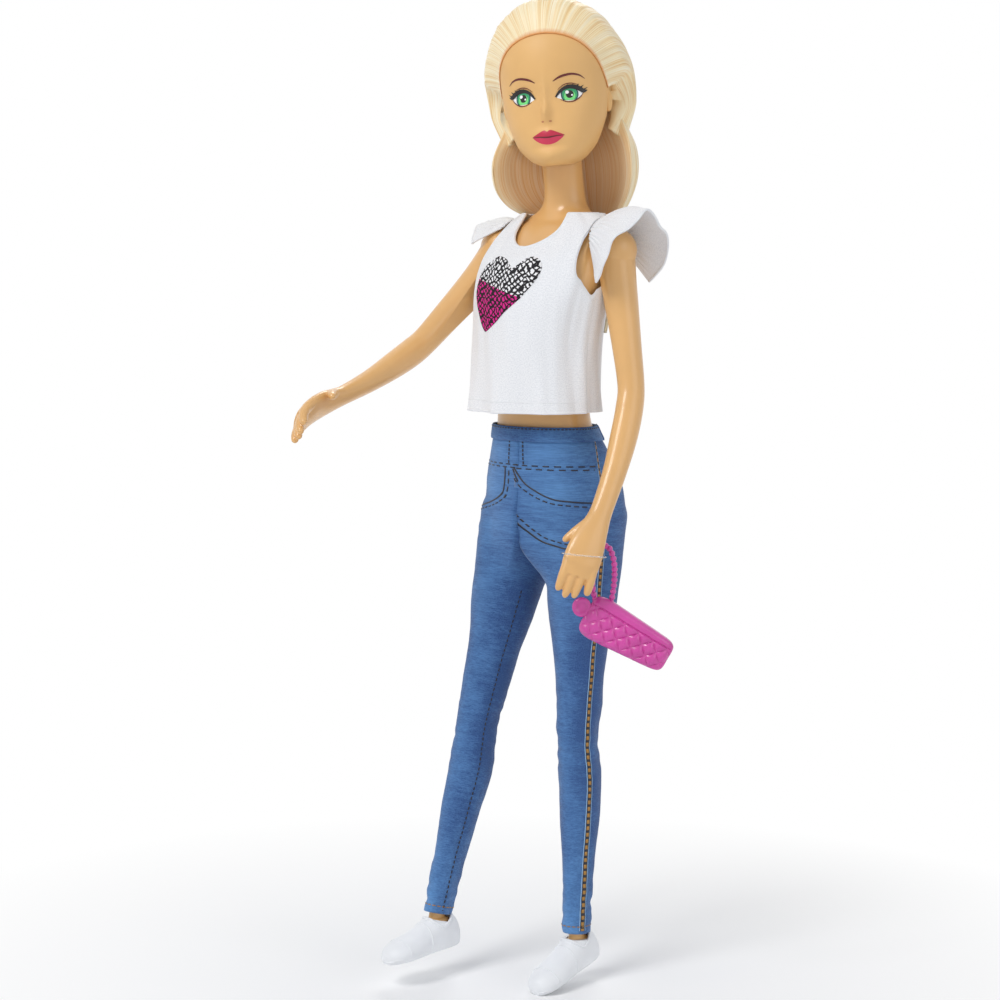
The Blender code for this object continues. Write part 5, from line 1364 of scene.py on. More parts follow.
def hair_surface():
    rows = [(CHIN_HEIGHT + up * HAIR_RISE, wide * HAIR_HALF_WIDTH, ahead * HAIR_DEPTH, behind * HAIR_DEPTH)
            for up, wide, ahead, behind in smooth_rows(HAIR_SHARES, 10)]
    shape = loft("hair_surface", [level_ring(row, 0, 160) for row in rows])
    tree = skin_tree(shape)
    bpy.data.objects.remove(shape, do_unlink=True)
    return tree


def hairline(s):
    """A point of the hairline, from the right ear over the forehead to the left ear."""
    angle = math.radians(90 + HAIRLINE_EAR_DEGREES) * s
    x = HAIRLINE_HALF_WIDTH * math.sin(min(max(angle, -math.pi / 2), math.pi / 2))
    middle = CHIN_HEIGHT + EAR_HEIGHT_SHARE * HEAD_RISE
    rise = HAIRLINE_TOP - EAR_HEIGHT_SHARE * HEAD_RISE
    return x, middle + rise * math.cos(angle)


def ray_out(tree, centre, heading):
    """Where a ray from inside meets a surface."""
    spot, normal, index, distance = tree.ray_cast(centre, heading)
    if spot is None:
        raise ValueError(f"no surface towards {heading}")
    return spot


def make_hair_cap(face, inks):
    """Combed hair from the hairline round the back of the head, in locks that run with the comb."""
    outer, centre = hair_surface(), scalp_centre()
    grid, locks, roots = [], [], []
    for i in range(CAP_ROWS):
        t = i / (CAP_ROWS - 1)
        rise = ease(t, 0, CAP_RISE_SHARE)
        line, under, lock_row = [], [], []
        for j in range(CAP_COLUMNS):
            part = j / (CAP_COLUMNS - 1)
            s = 2 * part - 1
            x, z = hairline(s)
            first = Vector((x, -HEAD_DEPTH * math.cos(s * math.pi / 2) * 0.75, z)) - centre
            first = (ray_out(face, centre, first.normalized()) - centre).normalized()
            around = math.radians(s * CAP_END_DEGREES)
            end = Vector((HAIR_HALF_WIDTH * math.sin(around), HAIR_DEPTH * 1.02 * math.cos(around),
                          CHIN_HEIGHT + CAP_END_SHARE * HAIR_RISE))
            last = (end - centre).normalized()
            over = Vector((math.sin(around), 0.22 + 0.25 * s ** 4, math.cos(around))).normalized() * 1.5
            heading = (first * (1 - t) ** 2 + over * 2 * t * (1 - t) + last * t * t).normalized()
            full = (ray_out(outer, centre, heading) - centre).length
            reach = (ray_out(face, centre, heading) - centre).length + CAP_GAP
            edge = 1 - (1 - HAIR_EDGE_SHARE) * ease(abs(s), CAP_SIDE_START, 1)
            edge += 0.5 * (1 - edge) * ease(t, *CAP_SIDE_FILL)
            depth = reach + max(full - reach, CAP_LEAST) * rise * edge
            groove = ripple(part * 44, t * 1.1, 3.7) * 0.5 + ripple(part * 120, t * 2, 9) * 0.45
            depth += HAIR_LOCK_DEPTH * groove * (0.25 + 0.75 * rise)
            depth *= 1 - CAP_TAPER_SHARE * ease(t, CAP_TAPER_START, 1)
            inside = reach - CAP_SINK + max(depth - reach, 0.0) * 0.5 * ease(t, CAP_RIM_START, 1)
            line.append(centre + heading * depth)
            under.append(centre + heading * inside)
            lock_row.append(ripple(part * 62 + t, t * 2.5, 5) * 0.5 + 0.5)
        grid.append(line + under[::-1])
        locks.append(lock_row + lock_row[::-1])
        roots.append([1 - ease(t, 0, CAP_HAIRLINE_TINT_SHARE)] * (2 * CAP_COLUMNS))
    cap = net("hair_cap", grid, True, lambda i, j: (j / CAP_COLUMNS * 0.05, i / CAP_ROWS * 0.05),
              lock=locks, root=roots)
    cap_ends(cap)
    finish(cap, head_matrix(), inks["hair"], "head", "hair", "hair_crown")


def fall_point(share, angle_share, depth_share, rows):
    """A point of the falling hair: how high, how far round, and how deep in it."""
    share, wide, deep, thick, sweep, twist = row_at(rows, share)
    top = CHIN_HEIGHT + HAIR_SHARES[0][0] * HAIR_RISE - SEAM_GAP
    height = HAIR_END_HEIGHT + share * (top - HAIR_END_HEIGHT)
    flat = FALL_ROUND_SHARE + (1 - FALL_ROUND_SHARE) * twist
    grow = thick * HAIR_THICKNESS * depth_share
    angle = math.radians(FALL_SWEEP_DEGREES * sweep) * angle_share
    x = (wide * HAIR_HALF_WIDTH - HAIR_THICKNESS + grow) * math.sin(angle)
    y = (deep * HAIR_DEPTH + grow) * (1 - flat * (1 - math.cos(angle)))
    return KNOB_PLACE + head_turn(twist) @ (Vector((x, y, height)) - KNOB_PLACE)


def make_hair_fall(inks):
    """The falling length: a combed outer layer with a ragged end, closed behind by a smooth inner one in painted
    golden shade.
    """
    rows = sorted(smooth_rows(LOOSE_SHARES, 12), key=lambda row: row[0])
    top_share = LOOSE_SHARES[0][0]
    grid, locks, roots = [], [], []
    for i in range(FALL_STEPS):
        t = i / (FALL_STEPS - 1)
        outer, inner, lock_row, root_row = [], [], [], []
        for j in range(FALL_COLUMNS):
            part = 2 * j / (FALL_COLUMNS - 1) - 1
            ragged = 0.09 * max(ripple(part * 9, 2.2, 1), -0.2) + 0.05 * ripple(part * 40, 7, 4)
            share = top_share - (top_share - max(ragged, 0)) * t
            wave = ripple(part * 15, share * 1.3, 8) * 0.5 + ripple(part * 42, share * 2, 3) * 0.3
            side = 0.42 * abs(part) ** 9
            loose = ease(t, 0, 0.4) * (0.10 - 0.20 * wave) + 0.35 * ease(t, 0.8, 1)
            outer.append(fall_point(share, part, 1.0 - loose - side, rows))
            inner.append(fall_point(share, part, 0.10 + side, rows))
            lock_row.append(ripple(part * 30, share, 5) * 0.5 + 0.5)
            # Painted golden shade on the inner layer of the fall, strongest at the middle of the back
            root_row.append(0.32 * (1 - part * part) + 0.08)
        grid.append(outer + inner[::-1])
        locks.append(lock_row + lock_row[::-1])
        roots.append([0.0] * FALL_COLUMNS + root_row[::-1])
    fall = net("hair_length", grid, True, lambda i, j: (j / FALL_COLUMNS * 0.04, i / FALL_STEPS * 0.05),
               lock=locks, root=roots)
    cap_ends(fall)
    move(fall, PLACE)
    paint(fall, inks["hair"])
    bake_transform(fall)
    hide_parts("hair_fall")


def cap_ends(made):
    """Closes the two ends of a tube of rings."""
    bm = bmesh.new()
    bm.from_mesh(made.data)
    bm.verts.ensure_lookup_table()
    edges = [edge for edge in bm.edges if edge.is_boundary]
    bmesh.ops.holes_fill(bm, edges=edges, sides=0)
    bmesh.ops.triangulate(bm, faces=[face for face in bm.faces if len(face.verts) > 4])
    bmesh.ops.recalc_face_normals(bm, faces=bm.faces)
    bm.to_mesh(made.data)
    bm.free()


# Shirt

def cloth_fold(angle, share):
    """Gentle folds of the shirt: slanting pulls from the arms, and a hem that stands away."""
    turn = math.radians(angle)
    across, ahead = math.sin(turn), math.cos(turn)
    pull = ripple(across * 2.2, ahead * 2.2, share * 1.6 + 4)
    fine = ripple(across * 5.5 + share * 1.5, ahead * 5.5, share * 2.5)
    hem = max(1 - share * 3.2, 0)
    drape = 0.5 + 0.5 * math.sin(turn * 7 + 2.5 * share + 0.8)
    return (SHIRT_PULL * (pull + 0.35) + SHIRT_CREASE * fine + SHIRT_DRAPE * drape * max(1 - share * 1.6, 0)
            + hem * SHIRT_CREASE * (1 + math.sin(turn * 9 + 1)) * (0.4 + 0.6 * max(ahead, 0)))


def shirt_point(share, angle, lift):
    """A point of the shirt: how high, how far round, and how far outside its plain form."""
    row = row_at(SHIRT_ROWS, SHIRT_HEM_HEIGHT + share * SHIRT_RISE)
    return level_ring(row, cloth_fold(angle, share) + lift, 1, angle)[0]


def make_shirt_panel(name, start, stop, lap, node, inks, front):
    """A panel of knit cut at the armholes and, in front, at the neckline."""
    columns = max(int((stop - start) * 0.85), 30)
    edge = 180 - CLOSURE_LAP_DEGREES - CLOSURE_EASE_DEGREES
    grid = []
    for i in range(SHIRT_STEPS):
        share = SHIRT_TOP_SHARE * i / (SHIRT_STEPS - 1)
        angles = [start + (stop - start) * j / (columns - 1) for j in range(columns)]
        rises = [ease(abs(angle), edge, edge + CLOSURE_EASE_DEGREES) * lap + KNIT_LIFT for angle in angles]
        grid.append([shirt_point(share, angle, rise) for angle, rise in zip(angles, rises)])
    size = math.radians(stop - start) * BUST_HALF_WIDTH
    panel = net(name, grid, flat=lambda i, j: (size * j / (columns - 1),
                                               SHIRT_RISE * SHIRT_TOP_SHARE * i / (SHIRT_STEPS - 1)))
    thicken(panel, CLOTH * KNIT_SHARE, 1)
    cutters = [beyond("armhole", shoulder_place(side) + shoulder_axis(side) * SEAM_GAP / 2, shoulder_axis(side))
               for side, word in SIDES]
    if front:
        shares = (NECKLINE_HALF_WIDTH / NECKLINE_DEPTH, 1, NECKLINE_DROP / NECKLINE_DEPTH)
        cutters.insert(0, ball("neckline", Vector((0, -NECKLINE_AHEAD, NECK_BASE_HEIGHT)), NECKLINE_DEPTH, shares,
                               96))
    carve(panel, cutters)
    finish(panel, PLACE, inks["cotton"], "torso", "shirt_cloth", node)
    as_cloth()


def make_shirt(inks):
    """The three panels, the binding of the neckline and the turned hem."""
    thick = CLOTH + 2 * (CLOSURE_THICKNESS + SEAM_GAP) + SEAM_GAP
    back, stop = SIDE_SEAM_DEGREES + SIDE_SEAM_GAP_DEGREES, 180 + CLOSURE_LAP_DEGREES
    for part, start, end, lap in (("front", -SIDE_SEAM_DEGREES, SIDE_SEAM_DEGREES, 0),
                                  ("back_left", back, stop, thick), ("back_right", -stop, -back, 0)):
        make_shirt_panel(f"shirt_{part}_cloth", start, end, lap, "shirt_" + part, inks, part == "front")
    points = [neckline_point(math.radians(-100 + 200 * k / 120)) for k in range(121)]
    strands = [ring_tube("neck_binding", [spot for spot in points if spot is not None], NECK_BINDING_RADIUS, 12)]
    for name, share, lift, radius in HEM_STRANDS:
        points = [shirt_point(share, SIDE_SEAM_DEGREES * (k / 120 - 1), lift) for k in range(241)]
        strands.append(ring_tube(name, points, radius, 8))
    for strand in strands:
        finish(strand, PLACE, inks["cotton"], "torso", "shirt_cloth")


def neckline_point(angle):
    """Where the neckline's oval crosses the shirt, at an angle from straight down."""
    spot = None
    for step in range(160):
        size = 0.3 + 1.1 * step / 159
        x = math.sin(angle) * NECKLINE_HALF_WIDTH * size
        z = NECK_BASE_HEIGHT - math.cos(angle) * NECKLINE_DROP * size
        share = (z - SHIRT_HEM_HEIGHT) / SHIRT_RISE
        if not 0 <= share <= SHIRT_TOP_SHARE:
            continue
        turn = math.degrees(math.asin(min(max(x / row_at(SHIRT_ROWS, z)[1], -1), 1)))
        spot = shirt_point(share, turn, NECK_BINDING_LIFT)
        inside = ((spot.x / NECKLINE_HALF_WIDTH) ** 2 + ((spot.y + NECKLINE_AHEAD) / NECKLINE_DEPTH) ** 2
                  + ((spot.z - NECK_BASE_HEIGHT) / NECKLINE_DROP) ** 2)
        if inside >= 1:
            break
    return spot


def make_sleeve(side, word, front_degrees, full, inks):
    """A flutter sleeve: a gathered cap of thin knit that waves more and more towards its free edge."""
    place, axis = shoulder_place(side), shoulder_axis(side)
    up = (UP - axis * axis.z).normalized()
    ahead = side * axis.cross(up)
    rows, columns = SLEEVE_ROWS, SLEEVE_COLUMNS
    sweep = math.radians(front_degrees + SLEEVE_BACK_DEGREES)
    grid = []
    for i in range(rows):
        t = i / (rows - 1)
        line = []
        for j in range(columns):
            turn = sweep * j / (columns - 1) - math.radians(SLEEVE_BACK_DEGREES)
            over, beside = math.cos(turn), math.sin(turn)
            spoke = ahead * beside + up * over
            seam = axis * (SEAM_GAP + CLOTH) + spoke * SLEEVE_SEAM_RADIUS
            edge = axis * SLEEVE_REACH * full * (SLEEVE_SIDE_SHARE + (1 - SLEEVE_SIDE_SHARE) * over)
            edge += ahead * SLEEVE_SPREAD_SHARE * SLEEVE_RADIUS * full * beside
            edge += up * (SLEEVE_RADIUS * over - SLEEVE_DROP - SLEEVE_SAG * beside ** 2)
            lift = up * SLEEVE_ARCH * math.sin(math.pi * t) * max(over, 0)
            size = SLEEVE_WAVE * full * t * t * (1 + 0.5 * ripple(turn * 1.7, side * 4, 1))
            wave = size * math.cos(SLEEVE_RUFFLES * turn + 0.8 * math.sin(turn * 2))
            wave += SLEEVE_GATHER_DEPTH * (1 - t) * math.cos(turn * SLEEVE_GATHERS + ripple(turn * 5, 2, 2) * 5)
            wave += SLEEVE_WAVER * ripple(turn * 3, t * 2, 6) * t
            line.append(place + seam * (1 - t) + edge * t + lift + spoke * wave)
        grid.append(line)
    size = SLEEVE_SPREAD_SHARE * SLEEVE_RADIUS * sweep
    sleeve = net(word + "_sleeve_cloth", grid, flat=lambda i, j: (size * j / (columns - 1),
                                                                  SLEEVE_REACH * i / (rows - 1)))
    thicken(sleeve, CLOTH * SLEEVE_KNIT_SHARE, 0)
    finish(sleeve, arm_matrix(side), inks["cotton"], word + "_arm", "shirt_cloth", word + "_sleeve")
    as_cloth()
    hem = ring_tube(word + "_sleeve_hem", grid[-1], SLEEVE_HEM_RADIUS, 10)
    finish(hem, arm_matrix(side), inks["cotton"], word + "_arm", "shirt_cloth")


# Jeans

def leg_row(z):
    """Centre across, centre back, half width and half depth of one leg's skin at a height."""
    drop = (HIP_HEIGHT - z) / LEG_DROP
    row = row_at(LEG_ROWS, min(max(drop, LEG_ROWS[0][0]), LEG_ROWS[-1][0]))
    drop, across, wide, ahead, behind = row
    return (HIP_OUT + across * LEG_DROP, HIP_AXIS_BACK + (behind - ahead) * THIGH_DEPTH / 2,
            wide * THIGH_HALF_WIDTH, (ahead + behind) * THIGH_DEPTH / 2)


def oval_reach(x, y, dx, dy, wide, deep):
    """How far a ray from inside an oval at the origin runs until it meets the oval."""
    a = (dx / wide) ** 2 + (dy / deep) ** 2
    b = 2 * (x * dx / wide ** 2 + y * dy / deep ** 2)
    c = (x / wide) ** 2 + (y / deep) ** 2 - 1
    return (-b + math.sqrt(max(b * b - 4 * a * c, 0))) / (2 * a)


def denim_folds(side, angle, z):
    """Creases across the knee, the foot and the lap, over slow waves."""
    turn = math.radians(angle)
    x, y = 0.9 * math.cos(turn), 0.9 * math.sin(turn)
    knee = math.exp(-((z - KNEE_HEIGHT) / 0.010) ** 2)
    foot = math.exp(-((z - HEM_HEIGHT - 0.006) / 0.008) ** 2)
    lap = math.exp(-((z - HIP_HEIGHT + 0.008) / 0.010) ** 2) * max(math.cos(turn), 0)
    crossing = ripple(x, y + side * 3, z * 420)
    slow = ripple(x * 1.3, y * 1.3 + side, z * 90)
    return DENIM_CREASE * crossing * (0.75 * knee + foot + 0.6 * lap + 0.12) + DENIM_WAVE * slow


def jeans_point(side, angle, z, grow=JEANS_EASE + CLOTH):
    """A point of the jeans at rest: how far round one leg, at what height, and how far outside the body."""
    x, y, wide, deep = leg_row(z)
    turn = math.radians(angle)
    dx, dy = math.sin(turn), -math.cos(turn)
    reach = oval_reach(0, 0, dx, dy, wide, deep)
    share = ease(z, SEAT_LOW, SEAT_HIGH)
    if share > 0:
        height, half, ahead, behind = row_at(TORSO_ROWS, max(z, TORSO_ROWS[0][0]))
        hip = oval_reach(x, y - (behind - ahead) / 2, dx, dy, half, (behind + ahead) / 2)
        reach = reach * (1 - ease(z, SEAT_TOP_LOW, SEAT_TOP_HIGH))
        if dx < 0:
            inner = (x + MIDDLE_LAP) / -dx - JEANS_EASE - CLOTH
            hip = min(hip, inner)
            reach = min(reach, max(inner, reach * (1 - share)))
        top = 0.5 * (reach + hip + math.sqrt((reach - hip) ** 2 + SEAT_BLEND ** 2)) if hip > 0 else reach
        if dx < 0 and share >= 1:
            top = min(top, inner)
        reach = reach + (top - reach) * share
    reach += grow + denim_folds(side, angle, z)
    if dx < 0:
        reach = min(reach, (x + MIDDLE_LAP) / -dx)
    spot = Vector((side * (x + dx * reach), y + dy * reach, z))
    bend = leg_turn(side) * ease(z, JEANS_STILL, JEANS_TURN)
    return about(hip_place(side), hip_axis(side), bend) @ spot


def with_leg(made, ink):
    """Finishes a piece of the jeans whose rest bend between the torso and the leg is already in its shape: puts it
    in place and paints it.
    """
    move(made, PLACE)
    paint(made, ink)
    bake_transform(made)


def make_jeans_half(side, word, inks):
    """One half of the jeans, from the hem up to the waistband."""
    columns, steps = JEANS_COLUMNS, JEANS_ROWS
    low, high = HEM_HEIGHT, WAIST_HEIGHT - WAISTBAND_RISE * 0.6
    heights = [low + (high - low) * i / (steps - 1) for i in range(steps)]
    grid = [[jeans_point(side, 180 - 360 * j / columns, z) for j in range(columns)] for z in heights]
    around = 2 * math.pi * THIGH_HALF_WIDTH
    half = net(word + "_denim", grid, True, lambda i, j: (around * j / columns, heights[i]))
    turned_outward(half, Vector((side * HIP_OUT * 2, 0, (low + high) / 2)))
    thicken(half, CLOTH * KNIT_SHARE, -1)
    with_leg(half, inks["denim"])
    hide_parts(word + "_jeans_leg", *(["jeans_seat"] if side > 0 else []))
    as_cloth()


def stitch(name, side, word, ink, width, dash, gap, lift, path):
    """Printed stitches, or an unbroken line without a dash, that follow angles and heights on the jeans."""
    line = smooth_rows([tuple(map(float, spot)) for spot in path], 24)
    grow = JEANS_EASE + CLOTH + lift
    spots = [jeans_point(side, a, z, grow) for a, z in line]
    walk = [0.0]
    for first, second in zip(spots, spots[1:]):
        walk.append(walk[-1] + (second - first).length)
    bm = bmesh.new()
    start, length = 0.0, dash or walk[-1]
    while start < walk[-1] - 1e-6:
        count = max(int(min(length, walk[-1] - start) / INK_PIECE), 2)
        pairs = []
        for k in range(count + 1):
            far = min(start + length * k / count, walk[-1])
            i = max(1, next((n for n, value in enumerate(walk) if value >= far), len(walk) - 1))
            (a, z), (next_a, next_z) = line[i - 1], line[i]
            share = (far - walk[i - 1]) / max(walk[i] - walk[i - 1], 1e-9)
            run, rise = next_a - a, next_z - z
            a, z = a + run * share, z + rise * share
            size = leg_row(z)[2] if z < HIP_HEIGHT else HIP_HALF_WIDTH * 0.75
            run = math.radians(run) * size
            norm = math.hypot(run, rise) or 1
            across, up = math.degrees(-rise / norm * width / 2 / size), run / norm * width / 2
            pairs.append([bm.verts.new(jeans_point(side, a + s * across, z + s * up, grow)) for s in (1, -1)])
        strip(bm, pairs)
        start += length + gap
    with_leg(thicken(sew(name, bm), INK_THICKNESS, 0), ink)


def make_jeans_prints(inks):
    """The seams, pockets and fly that are printed on the jeans."""
    for side, word in SIDES:
        edge = POCKETS[word]
        inner = [(a - STITCH_STEP_DEGREES, z - STITCH_STEP) for a, z in edge]
        for name, ink, *values in (*SEAM_PRINTS, ("pocket_edge", *POCKET_EDGE, edge),
                                   ("pocket_stitch", *POCKET_STITCH, inner), *BAND_PRINTS):
            stitch(f"{word}_{name}", side, word, inks[ink], *values)
    for name, (side, word), ink, *values in FLY_PRINTS:
        stitch(name, side, word, inks[ink], *values)


def band_point(z, angle, grow):
    return level_ring(row_at(TORSO_ROWS, z), grow, 1, angle)[0]


def make_waistband(inks):
    """The band at the top of the jeans, with two belt loops and a row of stitches."""
    low, high = WAIST_HEIGHT - WAISTBAND_RISE - BAND_LAP, WAIST_HEIGHT - SEAM_GAP
    middle, skin = Vector((0, 0, (low + high) / 2)), JEANS_EASE + CLOTH + WAISTBAND_EXTRA
    steps, columns, reach = BAND_ROWS, BAND_COLUMNS, 180 + CLOSURE_LAP_DEGREES
    lift = CLOTH + WAISTBAND_EXTRA + 2 * (CLOSURE_THICKNESS + SEAM_GAP) + SEAM_GAP
    edge = 180 - CLOSURE_LAP_DEGREES - CLOSURE_EASE_DEGREES
    grid = []
    for i in range(steps):
        t = i / (steps - 1)
        puff = skin + BAND_PUFF * (1 - (2 * t - 1) ** 4)
        angles = [reach * (2 * j / (columns - 1) - 1) for j in range(columns)]
        grid.append([band_point(low + (high - low) * t, angle,
                                puff + ease(angle, edge, edge + CLOSURE_EASE_DEGREES) * lift) for angle in angles])
    size = 2 * math.pi * HIP_HALF_WIDTH * 0.8
    made = net("waistband", grid, flat=lambda i, j: (size * j / columns, WAIST_HEIGHT + (high - low) * i / steps))
    turned_outward(made, middle)
    thicken(made, (CLOTH + WAISTBAND_EXTRA) * KNIT_SHARE, -1)
    finish(made, PLACE, inks["denim"], "torso", "denim_print", "jeans_waistband")
    bm = bmesh.new()
    angle = -BAND_STITCH_DEGREES
    while angle < BAND_STITCH_DEGREES:
        heights = [high - BAND_STITCH_DROP + s * BAND_STITCH_HALF_WIDTH for s in (1, -1)]
        strip(bm, [[bm.verts.new(band_point(z, angle + k * BAND_DASH_DEGREES, skin + BAND_STITCH_LIFT))
                    for z in heights] for k in range(4)])
        angle += BAND_PITCH_DEGREES
    finish(thicken(sew("band_upper_stitch", bm), INK_THICKNESS, 0), PLACE, inks["black_stitch"], "torso",
           "denim_print")
    for number, angle in enumerate(BELT_LOOP_DEGREES):
        grid = []
        for i in range(25):
            t = i / 24
            z = low - BELT_LOOP_LAP + (high - low + BELT_LOOP_EXTRA) * t
            bulge = BELT_LOOP_RISE * (1 - (2 * t - 1) ** 6)
            grid.append([band_point(z, angle + s * BELT_LOOP_HALF_DEGREES, skin + bulge)
                         for s in (-1, -0.5, 0, 0.5, 1)])
        loop = net(f"belt_loop_{number + 1}", grid, flat=lambda i, j: (0.0004 * j, WAIST_HEIGHT + 0.0002 * i))
        turned_outward(loop, middle)
        finish(thicken(loop, BELT_LOOP_THICKNESS, -1), PLACE, inks["denim"], "torso", "denim_print")


# Shoes

def make_shoe(side, word, inks):
    """A soft low shoe with a rolled collar, a welt and two seams across it."""
    rings = shoe_rings(side, 0, 8, 64)
    shoe = loft(word + "_shoe_upper", rings)
    tree = skin_tree(shoe)
    centre = ankle_place(side)
    carve(shoe, [loft("inside", shoe_rings(side, SHOE_WALL, 4, 40)),
                 rod("mouth", centre, UP, COLLAR_RADIUS, SHOE_HEIGHT)], "DIFFERENCE", 50)
    matrix = leg_matrix(side)
    finish(shoe, matrix, inks["shoe"], word + "_leg", "shoe_vinyl", word + "_shoe")
    ahead, up = foot_directions()
    collar = []
    for k in range(72):
        angle = 2 * math.pi * k / 72
        start = centre + Vector((math.cos(angle), math.sin(angle), 2)) * COLLAR_RADIUS
        collar.append(ray_out(tree, start + UP * SHOE_HEIGHT, -UP))
    welt = [max(ring, key=lambda point: point.x - point.dot(up) * 0.6) for ring in rings[2:-2]]
    welt += [min(ring, key=lambda point: point.x + point.dot(up) * 0.6) for ring in rings[-3:1:-1]]
    strands = [("collar", collar, COLLAR_ROLL, 12, True),
               ("welt", [point + up * WELT_RISE for point in welt], WELT_RADIUS, 10, True)]
    for name, share in (("toe_seam", 0.72), ("side_seam", 0.48)):
        arc = [point for point in rings[int(share * (len(rings) - 1))]
               if point.dot(up) > (centre - up * SOLE_DROP).dot(up) + SHOE_SEAM_RISE]
        arc = sorted(arc, key=lambda point: math.atan2(point.x - centre.x, (point - centre).dot(up) + 0.02))
        strands.append((name, arc, SHOE_SEAM_RADIUS, 8, False))
    for name, *shape in strands:
        finish(ring_tube(f"{word}_shoe_{name}", *shape), matrix, inks["shoe"], word + "_leg", "shoe_vinyl")


def bag_half_depth(w, v, reach, level):
    """Half the pouch's depth at a place: quilted below the rim line, plain above it."""
    puff = math.sqrt((1 - abs(w) ** BAG_SQUARENESS) * (1 - abs(v) ** BAG_SQUARENESS))
    rim = ease(v, BAG_RIM_SHARE - 0.03, BAG_RIM_SHARE + 0.03)
    cell = abs(math.sin(math.pi * (w * reach + level) / (BAG_QUILT * 1.4))
               * math.sin(math.pi * (w * reach - level) / (BAG_QUILT * 1.4)))
    soft = 1 - BAG_QUILT_SHARE * 1.35 * (1 - math.sqrt(cell))
    plain = 1 - BAG_QUILT_SHARE * 0.9
    groove = 1 - 0.16 * math.exp(-((v - BAG_RIM_SHARE) / 0.03) ** 2)
    return BAG_HALF_DEPTH * max(puff * (soft * (1 - rim) + plain * rim) * groove, 0.12)


# Handbag

def make_handbag(inks):
    """A quilted pouch with a plain rim, a beaded strap and a round clasp."""
    hang_point, across, along, rise, face = bag_frame()
    centre = hang_point + across * BAG_CENTRE_ACROSS - UP * BAG_CENTRE_DROP
    rows, columns = BAG_ROWS, BAG_COLUMNS
    bm = bmesh.new()
    layers = []
    for sign in (-1, 1):
        layer = []
        for i in range(rows):
            v = (2 * i / (rows - 1) - 1) * BAG_EDGE_SHARE
            reach = BAG_LENGTH / 2 * (1 - abs(v) ** BAG_SQUARENESS) ** (1 / BAG_SQUARENESS)
            line = []
            for j in range(columns):
                w = (2 * j / (columns - 1) - 1) * BAG_EDGE_SHARE
                level = BAG_HEIGHT / 2 * v * (1 - BAG_TAPER_SHARE * w)
                line.append(bm.verts.new(centre + along * w * reach + rise * level
                                         + face * bag_half_depth(w, v, reach, level) * sign))
            layer.append(line)
        for low, high in zip(layer, layer[1:]):
            strip(bm, list(zip(low, high)))
        layers.append(layer)
    border = [(0, j) for j in range(columns)] + [(i, columns - 1) for i in range(1, rows)]
    border += [(rows - 1, j) for j in range(columns - 2, -1, -1)] + [(i, 0) for i in range(rows - 2, 0, -1)]
    bridge(bm, *([layer[i][j] for i, j in border] for layer in layers))

    def hung(made, *nodes):
        finish(made, PLACE, inks["bag"], "handbag", "bag_vinyl", *nodes)

    hung(sew("bag_pouch", bm))
    shape = round_line([hang_point + (across * x - UP * z) * BAG_STRAP_DROP for x, z in BAG_STRAP_SHARES], 12)
    hung(ring_tube("bag_strap", shape, BAG_STRAP_RADIUS * 0.62, 14))
    walk, bm = 0.0, bmesh.new()
    for first, second in zip(shape, shape[1:]):
        walk += (second - first).length
        if walk > BEAD_PITCH:
            walk = 0.0
            bmesh.ops.create_uvsphere(bm, u_segments=20, v_segments=12, radius=BAG_STRAP_RADIUS * 1.04,
                                      matrix=Matrix.Translation(second))
    hung(sew("bag_strap_beads", bm), "handbag")
    middle = hang_point + across * BAG_TAB_ACROSS - UP * BAG_TAB_DROP
    hung(loft("bag_clasp", [oval(middle + face * BAG_TAB_HALF_DEPTH * depth, across, UP, BAG_TAB_RADIUS * radius,
                                 BAG_TAB_RADIUS * radius, 48) for depth, radius in CLASP_PROFILE]))


# Print on the shirt

def clipped(outline, line, keep):
    """The part of an outline on one side of a slanting line."""
    (x0, z0), (x1, z1) = line

    def side_of(point):
        return keep * ((x1 - x0) * (point[1] - z0) - (z1 - z0) * (point[0] - x0))

    made = []
    for first, second in zip(outline, outline[1:] + outline[:1]):
        a, b = side_of(first), side_of(second)
        if a >= 0:
            made.append(first)
        if a * b < 0:
            share = a / (a - b)
            made.append((first[0] + (second[0] - first[0]) * share, first[1] + (second[1] - first[1]) * share))
    return made


def filled(outline, count):
    """The same outline with points at even steps."""
    walk = [0.0]
    loop = outline + outline[:1]
    for first, second in zip(loop, loop[1:]):
        walk.append(walk[-1] + math.hypot(second[0] - first[0], second[1] - first[1]))
    made = []
    i = 1
    for k in range(count):
        far = walk[-1] * k / count
        while walk[i] < far:
            i += 1
        share = (far - walk[i - 1]) / max(walk[i] - walk[i - 1], 1e-12)
        made.append(tuple(a + (b - a) * share for a, b in zip(loop[i - 1], loop[i])))
    return made


